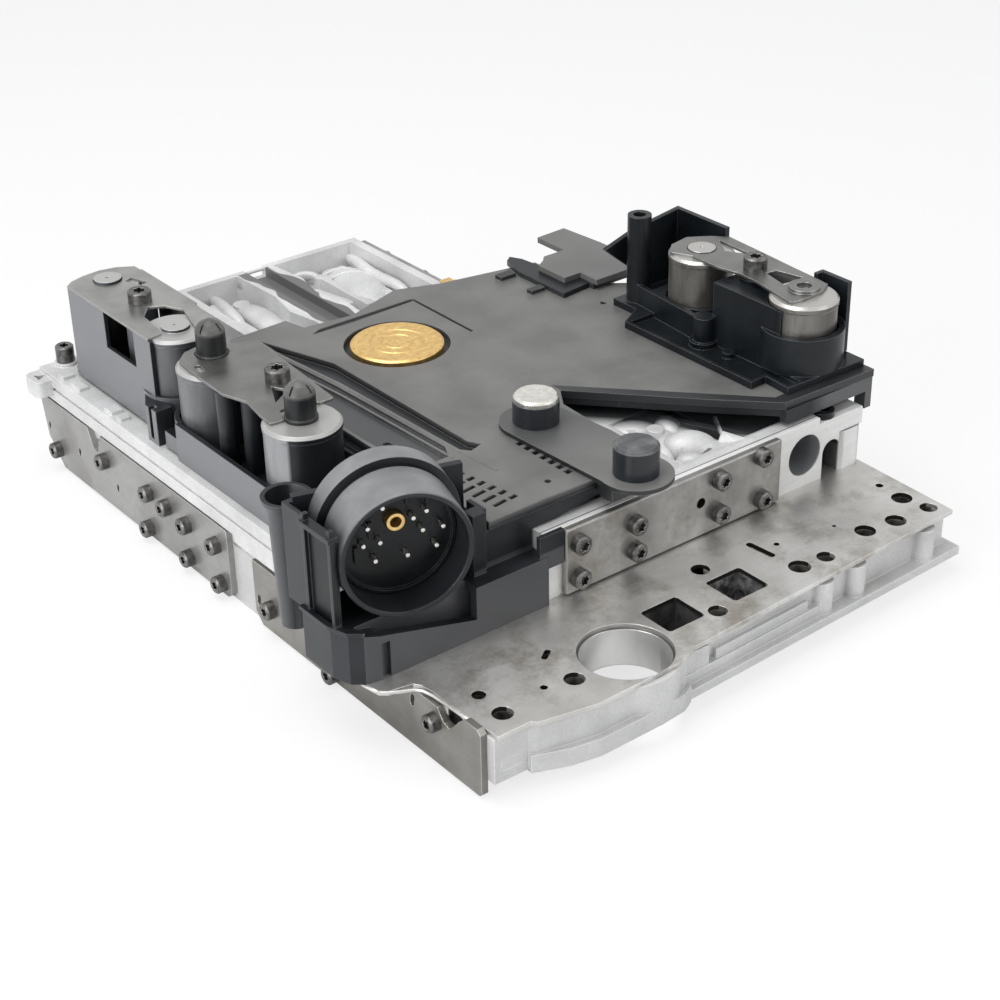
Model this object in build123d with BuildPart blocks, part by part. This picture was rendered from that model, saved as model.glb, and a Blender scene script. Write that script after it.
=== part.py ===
from build123d import *
from math import cos, radians, sin
import os

os.makedirs("parts", exist_ok=True)

# Hydraulic valve body of an automatic gearbox, in millimetres.
# The solids are drawn with z = 0 on the level the assembly stands on and are saved lower by joint_z.
# The origin of the saved part is the centre of the filter neck bore on the lower casting's joint face.
# X runs right along the front face, Y runs away from it, Z is up.

# Driving dimensions of the stack
deck_z = 30.0               # top face of the separator plate
plate_t = 2.0               # separator plate thickness
joint_z = deck_z - plate_t  # joint face of the lower casting
skirt_z = 8.0               # underside of the outer skirt of the lower casting
left_x = -73.0              # machined left side of the castings
right_x = 178.0             # right side of the lower casting
rear_y = 337.0              # rear side of the castings
front_y = 47.0              # machined front face of the upper casting
front_top_z = 61.0          # top of that face
ledge_z = 50.0              # top of the low left part of the upper casting
tray_z = 67.0               # rim of the open tray at the rear of the upper casting
cover_t = 3.0               # steel cover plates
lid_z = 69.0                # underside of the satin lid of the conductor plate
lid_t = 3.5                 # its thickness
lid_top = lid_z + lid_t

# Bores, valves and fits
neck_r = 18.3               # filter neck bore
neck_len = 17.0             # its length, down from the joint face
valve_r = 7.4               # spool valve lands
valve_gap = 0.10            # running fit of a spool in its bore
bore_r = valve_r + valve_gap
valve_len = 70.0            # spool length
bore_len = 95.0             # bore depth behind a cover
upper_bore_z = 45.5         # height of the bores in the upper casting
lower_bore_z = 14.0         # height of the bores in the lower casting
upper_bore_x = (28.0, 58.0, 76.0, 102.0)
lower_bore_y = (300.0, 257.0, 190.0, 112.0)
selector_r = 9.75           # open bore of the selector valve
selector_x = 144.6
selector_len = 56.0

# Screws
screw_r = 2.45              # shank of the cover screws
screw_gap = 0.05
screw_hole_r = screw_r + screw_gap
head_r = 4.2
head_h = 4.5
front_screws = ((13, 53.5), (13, 37.5), (43, 51), (43, 38.4), (90, 54.7), (90, 38.6), (114, 57.4), (115, 36.4))
left_screws = (
    (325.6, 10.4), (276.8, 24.3), (235.6, 25.3), (219.8, 24.9), (202.8, 23.5),
    (238.3, 6.0), (202.7, 7.0), (178.0, 24.8), (175.8, 6.7),
)
lower_left_screws = ((135.2, 13.3), (90.0, 5.4), (21.0, 20.5))

# Solenoids: centre, can radius, foot and top of the can
can_r = 15.3
front_can_r = 16.6
rear_can = ((-48.0, 309.5), (-49.5, 245.0))
front_can = ((-51.6, 209.3), (-51.9, 140.2))
right_can = ((166.0, 138.0), (166.0, 73.0))
rear_cap_z = 95.0
front_cap_z = 92.0
right_cap_z = 107.0

# Connector barrel: centre of its mouth, and the turn of its axis towards the left
plug_x = -69.0
plug_y = 44.0
plug_z = 79.2
plug_turn = radians(17.0)
plug_r = 26.5
plug_wall = 2.4
plug_len = 23.0
collar_r = 29.5
collar_t = 7.0

steel_holes = (
    (62.7, 25.1, 4.0), (46.8, -2.0, 4.0), (-27.1, -1.6, 4.2), (-61.6, -1.6, 4.2), (-61.4, 13.1, 2.8),
    (95.6, 0.8, 4.8), (109.4, -0.6, 3.9), (137.4, 3.4, 4.6), (153.6, 0.9, 4.6), (170.1, 12.3, 4.6),
    (172.7, -0.6, 3.9), (170.9, 26.0, 1.7), (100.9, 19.5, 1.3), (130.2, 14.5, 0.9), (-39.5, 1.4, 1.5),
)


# Every solid is saved in the part's own frame, with its name as label and as file name.
def save(solid, name):
    placed = Pos(0, 0, -joint_z) * solid
    placed.label = name
    export_step(placed, "parts/" + name + ".step")


# The separator plate is the ground steel sheet between the two castings.
plate_edge = (
    (-72.0, -12.0), (-57.0, -12.3), (-55.0, -14.3), (-42.0, -17.2), (-30.0, -19.6), (1.0, -19.2),
    (11.0, -18.8), (17.5, -17.0), (23.0, -14.6), (35.0, -14.1), (179.0, -8.7), (181.2, 47.5), (181.2, 250.0),
    (108.0, 250.0), (108.0, 338.0), (left_x, 338.0), (left_x, 66.0), (-86.0, 64.0), (-90.0, 60.0),
    (-90.3, 47.0), (-88.8, 39.0), (-86.0, 36.4), (-80.5, 35.6), (-76.0, 34.6), (-74.1, 31.6), (-73.4, 26.0),
    (-73.0, 3.0),
)
with BuildPart() as separator_plate:
    with BuildSketch(Plane.XY.offset(deck_z - plate_t)):
        with BuildLine():
            Polyline(*plate_edge, close=True)
        make_face()
        Circle(neck_r + 0.9, mode=Mode.SUBTRACT)
        for x, y, r in steel_holes:
            with Locations((x, y)):
                Circle(r, mode=Mode.SUBTRACT)
        with Locations((66.5, 7.5), (31.4, 7.7)):
            RectangleRounded(19.0, 17.8, 1.5, mode=Mode.SUBTRACT)
        with Locations((92.6, 20.5)):
            SlotOverall(15.0, 3.2, rotation=95, mode=Mode.SUBTRACT)
        with Locations((-25.1, 17.8)):
            SlotOverall(7.0, 2.6, rotation=35, mode=Mode.SUBTRACT)
    extrude(amount=plate_t)
save(separator_plate.part, "separator_plate")


# Lower casting: thin walls between pockets, a flange and ribs along the front, bores along X.
wall_edge = (
    (left_x, -11.0), (-57.5, -11.3), (-54.5, -13.3), (-42.0, -16.2), (-30.0, -18.6), (1.0, -18.2),
    (11.0, -17.6), (17.5, -15.6), (22.0, -10.5), (35.0, -10.0), (right_x, -5.0), (right_x, 249.0),
    (107.0, 249.0), (107.0, rear_y), (left_x, rear_y),
)
foot_edge = (
    (left_x, 6.0), (-30.0, 8.0), (-26.0, 48.0), (50.0, 48.0), (52.0, 0.0), (174.0, 0.0), (174.0, 245.0),
    (103.0, 245.0), (103.0, 333.0), (left_x, 333.0),
)
flange_edge = ((17.0, -10.0), (17.0, -17.4), (182.4, -11.6), (182.4, 60.0), (170.0, 60.0), (170.0, -4.0))
lobe_edge = (
    (-57.0, -9.0), (-57.5, -13.0), (-43.0, -19.0), (-30.0, -21.6), (1.0, -21.4), (13.0, -20.4), (19.0, -17.4),
    (19.0, -9.0),
)
with BuildPart() as lower_valve_housing:
    with BuildSketch(Plane.XY.offset(skirt_z)):
        with BuildLine():
            Polyline(*wall_edge, close=True)
        make_face()
    extrude(amount=deck_z - plate_t - skirt_z)
    with BuildSketch(Plane.XY):
        with BuildLine():
            Polyline(*foot_edge, close=True)
        make_face()
    extrude(amount=skirt_z)
    with BuildSketch(Plane.XY.offset(skirt_z)):
        with BuildLine():
            Polyline(*flange_edge, close=True)
        make_face()
    extrude(amount=4.0)
    with BuildSketch(Plane.XY.offset(skirt_z - 1.0)):
        with BuildLine():
            Polyline(*lobe_edge, close=True)
        make_face()
    extrude(amount=8.0)
    # Two steps of the front wall above the flange
    with BuildSketch(Plane.XY.offset(12.0)):
        with BuildLine():
            Polyline((19.0, -8.0), (19.0, -14.0), (98.0, -11.4), (98.0, -6.0), close=True)
        make_face()
    extrude(amount=5.0)
    with BuildSketch(Plane.XY.offset(17.0)):
        with BuildLine():
            Polyline((37.0, -8.0), (37.0, -12.0), (90.0, -10.2), (90.0, -6.0), close=True)
        make_face()
    extrude(amount=4.0)
    # Half round bosses and one flat pad on the front wall
    with BuildSketch(Plane.XY.offset(12.0)):
        with Locations((100.0, -8.0), (120.0, -7.4), (163.5, -6.6)):
            Circle(4.8)
    extrude(amount=14.5)
    with BuildSketch(Plane.XY.offset(12.0)):
        with Locations((26.0, -9.0)):
            Rectangle(12.0, 8.0)
    extrude(amount=14.0)
    # Pockets of the oil channels, open towards the separator plate
    with BuildSketch(Plane.XY.offset(4.0)):
        with Locations(*[(35.0 + 31.0 * i, 69.0 + 31.0 * j) for i in range(5) for j in range(6)]):
            Rectangle(28.0, 28.0)
        with Locations(*[(35.0 + 31.0 * i, 259.0 + 27.0 * j) for i in range(2) for j in range(3)]):
            Rectangle(28.0, 24.0)
        with Locations(*[(35.0 + 31.0 * i, 38.0) for i in range(5)]):
            Rectangle(28.0, 22.0)
        with Locations(*[(x, y) for x in (-41.5, -6.0) for y in (323.0, 213.0, 233.5, 142.0, 162.0, 68.5)]):
            Rectangle(32.5, 17.0)
        with Locations(*[(x, y) for x in (-41.5, -6.0) for y in (278.5, 90.5)]):
            Rectangle(32.5, 13.0)
        with Locations((-41.5, 37.0), (-6.0, 37.0)):
            Rectangle(32.5, 20.0)
        with Locations((66.5, 7.5), (31.4, 7.7)):
            Rectangle(20.6, 18.6)
    extrude(amount=30.0, mode=Mode.SUBTRACT)
    # Barrels of the bores and the round wall of the filter neck
    for y in lower_bore_y:
        with BuildSketch(Plane(origin=(left_x, y, lower_bore_z), x_dir=(0, 1, 0), z_dir=(1, 0, 0))):
            Circle(10.6)
        extrude(amount=bore_len + 4.0)
    with BuildSketch(Plane.XY.offset(skirt_z)):
        Circle(neck_r + 3.4)
    extrude(amount=joint_z - skirt_z)
    # Bores, neck, screw holes and the holes below those of the plate
    for y in lower_bore_y:
        with BuildSketch(Plane(origin=(left_x, y, lower_bore_z), x_dir=(0, 1, 0), z_dir=(1, 0, 0))):
            Circle(bore_r)
        extrude(amount=bore_len, mode=Mode.SUBTRACT)
    with BuildSketch(Plane.XY):
        Circle(neck_r)
    extrude(amount=deck_z, mode=Mode.SUBTRACT)
    # Relief below the neck, wider on its far side
    with BuildSketch(Plane.XY):
        Circle(neck_r + 0.9)
        with Locations((9.0, 12.0)):
            Circle(20.0)
    extrude(amount=joint_z - neck_len, mode=Mode.SUBTRACT)
    for y, z in left_screws + lower_left_screws:
        with BuildSketch(Plane(origin=(left_x, y, z), x_dir=(0, 1, 0), z_dir=(1, 0, 0))):
            Circle(screw_hole_r)
        extrude(amount=13.0, mode=Mode.SUBTRACT)
    with BuildSketch(Plane.XY.offset(9.0)):
        for x, y, r in steel_holes:
            with Locations((x, y)):
                Circle(r)
        with Locations((92.6, 20.5)):
            SlotOverall(14.6, 2.6, rotation=95)
        with Locations((-25.1, 17.8)):
            SlotOverall(7.0, 2.6, rotation=35)
    extrude(amount=deck_z, mode=Mode.SUBTRACT)
    # Pocket behind the notch of the lower left cover, and a recess in the near corner block
    with BuildSketch(Plane(origin=(left_x, 12.2, 24.4), x_dir=(0, 1, 0), z_dir=(1, 0, 0))):
        RectangleRounded(9.6, 6.4, 1.6)
    extrude(amount=7.0, mode=Mode.SUBTRACT)
    with BuildSketch(Plane(origin=(-64.5, -11.0, 15.5), x_dir=(1, 0, 0), z_dir=(0, -1, 0))):
        RectangleRounded(12.0, 6.0, 2.0)
    extrude(amount=-3.0, mode=Mode.SUBTRACT)
save(lower_valve_housing.part, "lower_valve_housing")


# Upper casting: a low left part, a taller front wall with the valve bores, and the rear tray.
low_edge = (
    (left_x, 78.0), (-2.0, 78.0), (-2.0, front_y), (166.0, front_y), (166.0, 60.0), (181.0, 60.0),
    (181.0, 249.0), (107.0, 249.0), (107.0, rear_y), (left_x, rear_y),
)
with BuildPart() as upper_valve_housing:
    with BuildSketch(Plane.XY.offset(deck_z)):
        with BuildLine():
            Polyline(*low_edge, close=True)
        make_face()
    extrude(amount=ledge_z - deck_z)
    # Front wall, its lower right end and the block hidden below the conductor plate
    with BuildSketch(Plane.XY.offset(ledge_z)):
        with Locations((75.5, front_y + 4.5)):
            Rectangle(155.0, 9.0)
        with Locations((89.5, 172.0)):
            Rectangle(183.0, 140.0)
    extrude(amount=front_top_z - ledge_z)
    with BuildSketch(Plane.XY.offset(ledge_z)):
        with Locations((159.5, front_y + 6.0)):
            Rectangle(13.0, 12.0)
        with Locations((147.0, 75.0)):
            Rectangle(66.0, 56.0)
    extrude(amount=8.0)
    # Cast lump right of the arch
    with BuildSketch(Plane.XY.offset(deck_z)):
        with Locations((173.5, 54.0)):
            RectangleRounded(15.0, 14.0, 4.0)
    extrude(amount=19.0)
    # Bore barrels that show as round ridges behind the front wall
    for x in upper_bore_x[1:]:
        with BuildSketch(Plane(origin=(x, front_y + 4, ledge_z), x_dir=(1, 0, 0), z_dir=(0, 1, 0))):
            Circle(10.6)
        extrude(amount=60.0)
    for x, y, r, h in ((49, 76, 7, 62), (67, 70, 6, 62), (67, 88, 8, 63), (89, 66, 5, 61), (90, 84, 9, 62.5)):
        with BuildSketch(Plane.XY.offset(ledge_z - 4)):
            with Locations((x, y)):
                Circle(r)
        extrude(amount=h - ledge_z + 4, taper=18)
    # Webs and gussets between the ridges
    with BuildSketch(Plane.XY.offset(ledge_z - 2)):
        with Locations((113.0, 72.0)):
            Rectangle(4.0, 46.0, rotation=24)
        with Locations((80.0, 75.0)):
            Rectangle(3.0, 46.0, rotation=-12)
        with Locations((60.0, 62.0)):
            Rectangle(40.0, 3.0, rotation=8)
    extrude(amount=12.0)
    # Tray block at the rear
    with BuildSketch(Plane.XY.offset(ledge_z)):
        with Locations((53.5, 290.0)):
            Rectangle(107.0, 94.0)
    extrude(amount=tray_z - ledge_z)
    # Side lip above the left covers, cast lumps on the ledge and the corner ear
    with BuildSketch(Plane.XY.offset(36.5)):
        with Locations((left_x - 1.4, 250.0)):
            Rectangle(2.8, 174.0)
    extrude(amount=ledge_z - 36.5)
    with BuildSketch(Plane.XY.offset(33.0)):
        with Locations((left_x - 1.4, 120.5)):
            Rectangle(2.8, 85.0)
    extrude(amount=ledge_z - 33.0)
    with BuildSketch(Plane.XY.offset(40.0)):
        with Locations((-78.0, 331.0)):
            RectangleRounded(12.0, 14.0, 4.0)
    extrude(amount=8.0)
    with BuildSketch(Plane.XY.offset(ledge_z)):
        with Locations((-64.0, 332.0)):
            Circle(5.4)
        for y, w, d in ((318.0, 6.0, 5.0), (304.0, 5.0, 9.0), (272.0, 6.0, 7.0), (262.0, 5.0, 4.0)):
            with Locations((left_x - 1.0 + w / 2, y)):
                Rectangle(w, d)
    extrude(amount=1.6)
    # Hollow underside
    with BuildSketch(Plane.XY.offset(deck_z - 1)):
        with Locations(*[(35.0 + 31.0 * i, 163.0 + 31.0 * j) for i in range(5) for j in range(3)]):
            Rectangle(28.0, 28.0)
        with Locations((128.0, 132.0), (159.0, 132.0), (128.0, 101.0), (159.0, 101.0), (128.0, 72.0)):
            Rectangle(26.0, 26.0)
    extrude(amount=26.0, mode=Mode.SUBTRACT)
    with BuildSketch(Plane.XY.offset(deck_z - 1)):
        with Locations(*[(x, 98.0 + 31.0 * j) for x in (-54.0, -22.0) for j in range(8)]):
            Rectangle(27.0, 26.0)
        with Locations(*[(x, y) for x in (20.0, 54.0, 88.0) for y in (262.0, 291.0, 320.0)]):
            Rectangle(28.0, 25.0)
    extrude(amount=17.0, mode=Mode.SUBTRACT)
    # Barrel of the open selector bore
    with BuildSketch(Plane(origin=(selector_x, front_y, upper_bore_z), x_dir=(1, 0, 0), z_dir=(0, 1, 0))):
        Circle(selector_r + 3.0)
    extrude(amount=selector_len + 3.0)
    # Two basins of the tray and the valley between them
    with BuildSketch(Plane.XY.offset(tray_z)):
        with BuildLine():
            Polyline((4.0, 247.0), (32.0, 247.0), (34.5, 262.0), (31.0, 280.0), (35.0, 300.0), (34.0, 333.5),
                     (4.0, 333.5), close=True)
        make_face()
    extrude(amount=-14.0, taper=7, mode=Mode.SUBTRACT)
    with BuildSketch(Plane.XY.offset(tray_z)):
        with BuildLine():
            Polyline((56.0, 247.0), (102.5, 247.0), (102.5, 333.5), (55.0, 333.5), (57.5, 310.0), (53.5, 292.0),
                     (58.0, 272.0), close=True)
        make_face()
    extrude(amount=-14.0, taper=7, mode=Mode.SUBTRACT)
    with BuildSketch(Plane.XY.offset(tray_z)):
        with Locations((45.0, 290.0)):
            Rectangle(11.0, 100.0)
    extrude(amount=-5.0, mode=Mode.SUBTRACT)
    # Raised channels on the basin floors
    for x, y, w, d, a in ((14, 300, 8, 56, 0), (26, 318, 12, 12, 30), (22, 262, 16, 10, 15), (76, 300, 9, 50, 0),
                          (90, 282, 9, 60, 0), (68, 262, 14, 9, -20), (82, 322, 24, 8, 10), (66, 296, 7, 30, 12)):
        with BuildSketch(Plane.XY.offset(tray_z - 14.5)):
            with Locations((x, y)):
                SlotOverall(max(w, d), min(w, d), rotation=a + (90 if d > w else 0))
        extrude(amount=7.0, taper=16)
    # Front bores, the open selector bore and the arched recess beside it
    for x in upper_bore_x:
        with BuildSketch(Plane(origin=(x, front_y, upper_bore_z), x_dir=(1, 0, 0), z_dir=(0, 1, 0))):
            Circle(bore_r)
        extrude(amount=bore_len, mode=Mode.SUBTRACT)
    with BuildSketch(Plane(origin=(selector_x, front_y, upper_bore_z), x_dir=(1, 0, 0), z_dir=(0, 1, 0))):
        Circle(selector_r)
    extrude(amount=selector_len, mode=Mode.SUBTRACT)
    with BuildSketch(Plane(origin=(161.4, front_y, deck_z), x_dir=(1, 0, 0), z_dir=(0, -1, 0))):
        with Locations((0, 5.0)):
            Rectangle(11.0, 14.0)
        with Locations((0, 12.0)):
            Circle(5.5)
    extrude(amount=-13.0, mode=Mode.SUBTRACT)
    for x, z in front_screws:
        with BuildSketch(Plane(origin=(x, front_y, z), x_dir=(1, 0, 0), z_dir=(0, 1, 0))):
            Circle(screw_hole_r)
        extrude(amount=13.0, mode=Mode.SUBTRACT)
    # Long groove of the side lip, the ear's corner hole and the bolt holes
    with BuildSketch(Plane(origin=(left_x - 2.8, 207.0, 43.0), x_dir=(0, -1, 0), z_dir=(-1, 0, 0))):
        Rectangle(262.0, 1.6)
    extrude(amount=-1.2, mode=Mode.SUBTRACT)
    with BuildSketch(Plane.XY.offset(39.0)):
        with Locations((-79.0, 331.0)):
            RegularPolygon(3.6, 3)
    extrude(amount=10.0, mode=Mode.SUBTRACT)
    with BuildSketch(Plane.XY.offset(ledge_z + 1.6)):
        with Locations((-64.0, 332.0)):
            Circle(3.05)
    extrude(amount=-14.0, mode=Mode.SUBTRACT)
    for y in (316.0, 283.0):
        with BuildSketch(Plane(origin=(107.0, y, 60.0), x_dir=(0, -1, 0), z_dir=(-1, 0, 0))):
            Circle(screw_hole_r)
        extrude(amount=3.0, mode=Mode.SUBTRACT)
save(upper_valve_housing.part, "upper_valve_housing")


# Steel cover plates that close the bores
with BuildPart() as front_cover_plate:
    with BuildSketch(Plane(origin=(67.0, front_y, 45.7), x_dir=(1, 0, 0), z_dir=(0, -1, 0))):
        RectangleRounded(120.0, 30.2, 1.2)
        for x, z in front_screws:
            with Locations((x - 67.0, z - 45.7)):
                Circle(screw_hole_r + 0.2, mode=Mode.SUBTRACT)
        with Locations((13.1, 0.9)):
            Circle(2.3, mode=Mode.SUBTRACT)
    extrude(amount=cover_t)
    outer = front_cover_plate.faces().filter_by(Axis.Y).sort_by(Axis.Y)[0]
    chamfer(outer.outer_wire().edges(), 0.5)
save(front_cover_plate.part, "front_cover_plate")

left_plane = Plane(origin=(left_x, 0, 0), x_dir=(0, -1, 0), z_dir=(-1, 0, 0))
with BuildPart() as left_cover_plate:
    with BuildSketch(left_plane):
        with BuildLine():
            Polyline((-340.0, 35.5), (-170.0, 35.5), (-169.0, 34.5), (-169.0, 4.0), (-172.0, 1.2), (-323.0, 1.2),
                     (-336.0, 14.0), close=True)
        make_face()
        for y, z in left_screws:
            with Locations((-y, z)):
                Circle(screw_hole_r + 0.2, mode=Mode.SUBTRACT)
        for y, z in ((334.0, 19.9), (303.9, 17.5), (267.7, 13.6)):
            with Locations((-y, z)):
                SlotOverall(4.2, 2.2, rotation=80, mode=Mode.SUBTRACT)
        with BuildLine():
            Polyline((-293.0, 36.0), (-280.0, 36.0), (-284.0, 25.5), (-288.0, 25.5), close=True)
        make_face(mode=Mode.SUBTRACT)
    extrude(amount=cover_t)
save(left_cover_plate.part, "left_cover_plate")

with BuildPart() as lower_left_cover_plate:
    with BuildSketch(left_plane):
        with BuildLine():
            Polyline((-149.0, 6.0), (-149.0, 31.0), (-78.0, 31.0), (-76.6, 27.6), (-27.0, 27.6), (-19.4, 27.4),
                     (-17.8, 25.0), (-15.6, 22.4), (-12.6, 21.6), (-9.6, 24.0), (-6.0, 28.4), (-2.6, 31.0),
                     (4.8, 31.0), (6.8, 29.0), (6.8, 2.2), (5.6, 1.0), (-144.0, 1.0), close=True)
        make_face()
        for y, z in lower_left_screws:
            with Locations((-y, z)):
                Circle(screw_hole_r + 0.2, mode=Mode.SUBTRACT)
        for y, z in ((145.7, 12.6), (35.7, 22.1)):
            with Locations((-y, z)):
                SlotOverall(5.6, 2.6, rotation=80, mode=Mode.SUBTRACT)
    extrude(amount=cover_t)
save(lower_left_cover_plate.part, "lower_left_cover_plate")

with BuildPart() as rear_cover_plate:
    with BuildSketch(Plane(origin=(107.0, 293.0, 58.5), x_dir=(0, 1, 0), z_dir=(1, 0, 0))):
        RectangleRounded(80.0, 16.0, 2.0)
        for y in (316.0, 283.0):
            with Locations((y - 293.0, 1.5)):
                Circle(screw_hole_r + 0.2, mode=Mode.SUBTRACT)
    extrude(amount=cover_t)
save(rear_cover_plate.part, "rear_cover_plate")


# One cap screw with a six lobe socket; +Z points out of the head, z = 0 is the seat.
def cap_screw(head_radius, head_height, shank_radius, shank_length):
    with BuildPart() as screw:
        Cylinder(head_radius, head_height, align=(Align.CENTER, Align.CENTER, Align.MIN))
        chamfer(screw.edges().filter_by(GeomType.CIRCLE).sort_by(Axis.Z)[-1], 0.6)
        with BuildSketch(Plane.XY.offset(head_height)):
            Circle(head_radius * 0.44)
            with PolarLocations(head_radius * 0.46, 6):
                Circle(head_radius * 0.13)
        extrude(amount=-head_height * 0.6, mode=Mode.SUBTRACT)
        Cylinder(shank_radius, shank_length, align=(Align.CENTER, Align.CENTER, Align.MAX))
    return screw.part


cover_screw = cap_screw(head_r, head_h, screw_r, 12.5)
with BuildPart() as front_cover_screws:
    with Locations(*[Plane(origin=(x, front_y - cover_t, z), x_dir=(1, 0, 0), z_dir=(0, -1, 0)) for x, z in front_screws]):
        add(cover_screw)
save(front_cover_screws.part, "front_cover_screws")

side_screw = cap_screw(3.9, head_h, screw_r, 12.5)
with BuildPart() as left_cover_screws:
    with Locations(*[Plane(origin=(left_x - cover_t, y, z), x_dir=(0, -1, 0), z_dir=(-1, 0, 0)) for y, z in left_screws]):
        add(side_screw)
save(left_cover_screws.part, "left_cover_screws")

with BuildPart() as lower_left_cover_screws:
    with Locations(*[Plane(origin=(left_x - cover_t, y, z), x_dir=(0, -1, 0), z_dir=(-1, 0, 0)) for y, z in lower_left_screws]):
        add(side_screw)
save(lower_left_cover_screws.part, "lower_left_cover_screws")

short_screw = cap_screw(head_r, head_h, screw_r, 5.6)
with BuildPart() as rear_cover_screws:
    with Locations(*[Plane(origin=(107.0 + cover_t, y, 60.0), x_dir=(0, 1, 0), z_dir=(1, 0, 0)) for y in (316.0, 283.0)]):
        add(short_screw)
save(rear_cover_screws.part, "rear_cover_screws")

housing_screw = cap_screw(4.4, 8.0, 3.0, 13.0)
with BuildPart() as housing_bolt:
    with Locations(Plane.XY.offset(ledge_z + 1.6).shift_origin((-64.0, 332.0, ledge_z + 1.6))):
        add(housing_screw)
save(housing_bolt.part, "housing_bolt")


# Spool valve: a lathe part with four lands, built along +Z from its outer end.
def spool_valve(plane):
    with BuildPart() as spool:
        with BuildSketch(Plane.XZ) as profile:
            with BuildLine():
                Polyline(
                    (0, 0), (valve_r - 0.6, 0), (valve_r, 0.6), (valve_r, 10), (4.2, 10), (4.2, 20), (valve_r, 20),
                    (valve_r, 32), (4.2, 32), (4.2, 44), (valve_r, 44), (valve_r, 54), (4.2, 54), (4.2, 62),
                    (valve_r, 62), (valve_r, valve_len), (0, valve_len), close=True,
                )
            make_face()
        revolve(axis=Axis.Z)
    return plane.location * spool.part


# Coil spring between the spool and the blind end of its bore, along +Z.
spring_wire = 0.6
spring_free = bore_len - valve_len - 2 * spring_wire
def coil_spring(plane):
    with BuildPart() as coil:
        with BuildLine():
            path = Helix(pitch=spring_free / 6, height=spring_free, radius=4.6)
        with BuildSketch(Plane(origin=path @ 0, z_dir=path % 0)):
            Circle(spring_wire)
        sweep(path=path)
    return plane.location * coil.part


for number, x in enumerate(upper_bore_x, start=1):
    spool = spool_valve(Plane(origin=(x, front_y, upper_bore_z), x_dir=(1, 0, 0), z_dir=(0, 1, 0)))
    save(spool, "front_valve_" + str(number))
    start_y = front_y + valve_len + spring_wire
    spring = coil_spring(Plane(origin=(x, start_y, upper_bore_z), x_dir=(1, 0, 0), z_dir=(0, 1, 0)))
    save(spring, "front_valve_spring_" + str(number))

for number, y in enumerate(lower_bore_y, start=1):
    spool = spool_valve(Plane(origin=(left_x, y, lower_bore_z), x_dir=(0, 0, 1), z_dir=(1, 0, 0)))
    save(spool, "side_valve_" + str(number))
    start_x = left_x + valve_len + spring_wire
    spring = coil_spring(Plane(origin=(start_x, y, lower_bore_z), x_dir=(0, 0, 1), z_dir=(1, 0, 0)))
    save(spring, "side_valve_spring_" + str(number))


# Black moulding of the conductor plate: floor, connector block, solenoid pocket and right bar.
lid_edge = (
    (-24.0, 53.5), (5.0, 54.0), (34.0, 53.0), (47.0, 60.0), (60.5, 80.0), (62.0, 112.0), (69.4, 123.0),
    (113.0, 74.5), (135.5, 51.5), (188.5, 49.6), (188.5, 176.0), (150.0, 205.0), (150.0, 240.0), (98.0, 250.0),
    (77.0, 258.0), (45.0, 247.0), (19.5, 250.0), (17.0, 262.0), (-14.0, 261.0), (-24.0, 240.0),
)
floor_edge = (
    (-26.0, 55.0), (33.0, 55.0), (45.5, 61.5), (59.0, 81.0), (60.5, 112.5), (69.6, 125.5), (114.0, 76.0),
    (136.0, 53.0), (187.0, 53.0), (187.0, 175.0), (149.0, 203.0), (149.0, 240.0), (-26.0, 240.0),
)
block_left, block_right = -97.0, -2.0
block_front, block_back = 44.0, 76.0
block_top = 52.4
pocket_left, pocket_right = -72.0, -27.0
pocket_front, pocket_back = 108.0, 228.4
pocket_top = 68.0
post_a = (-41.0, 175.0)
tube_at = (-86.2, 99.2)
tube_top = 87.5
plug_plane = Plane(
    origin=(plug_x, plug_y, plug_z),
    x_dir=(cos(plug_turn), -sin(plug_turn), 0),
    z_dir=(sin(plug_turn), cos(plug_turn), 0),
)
plug_back = plug_len + collar_t + 3.0
front_face = Plane(origin=(0, block_front, 0), x_dir=(1, 0, 0), z_dir=(0, -1, 0))
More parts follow.
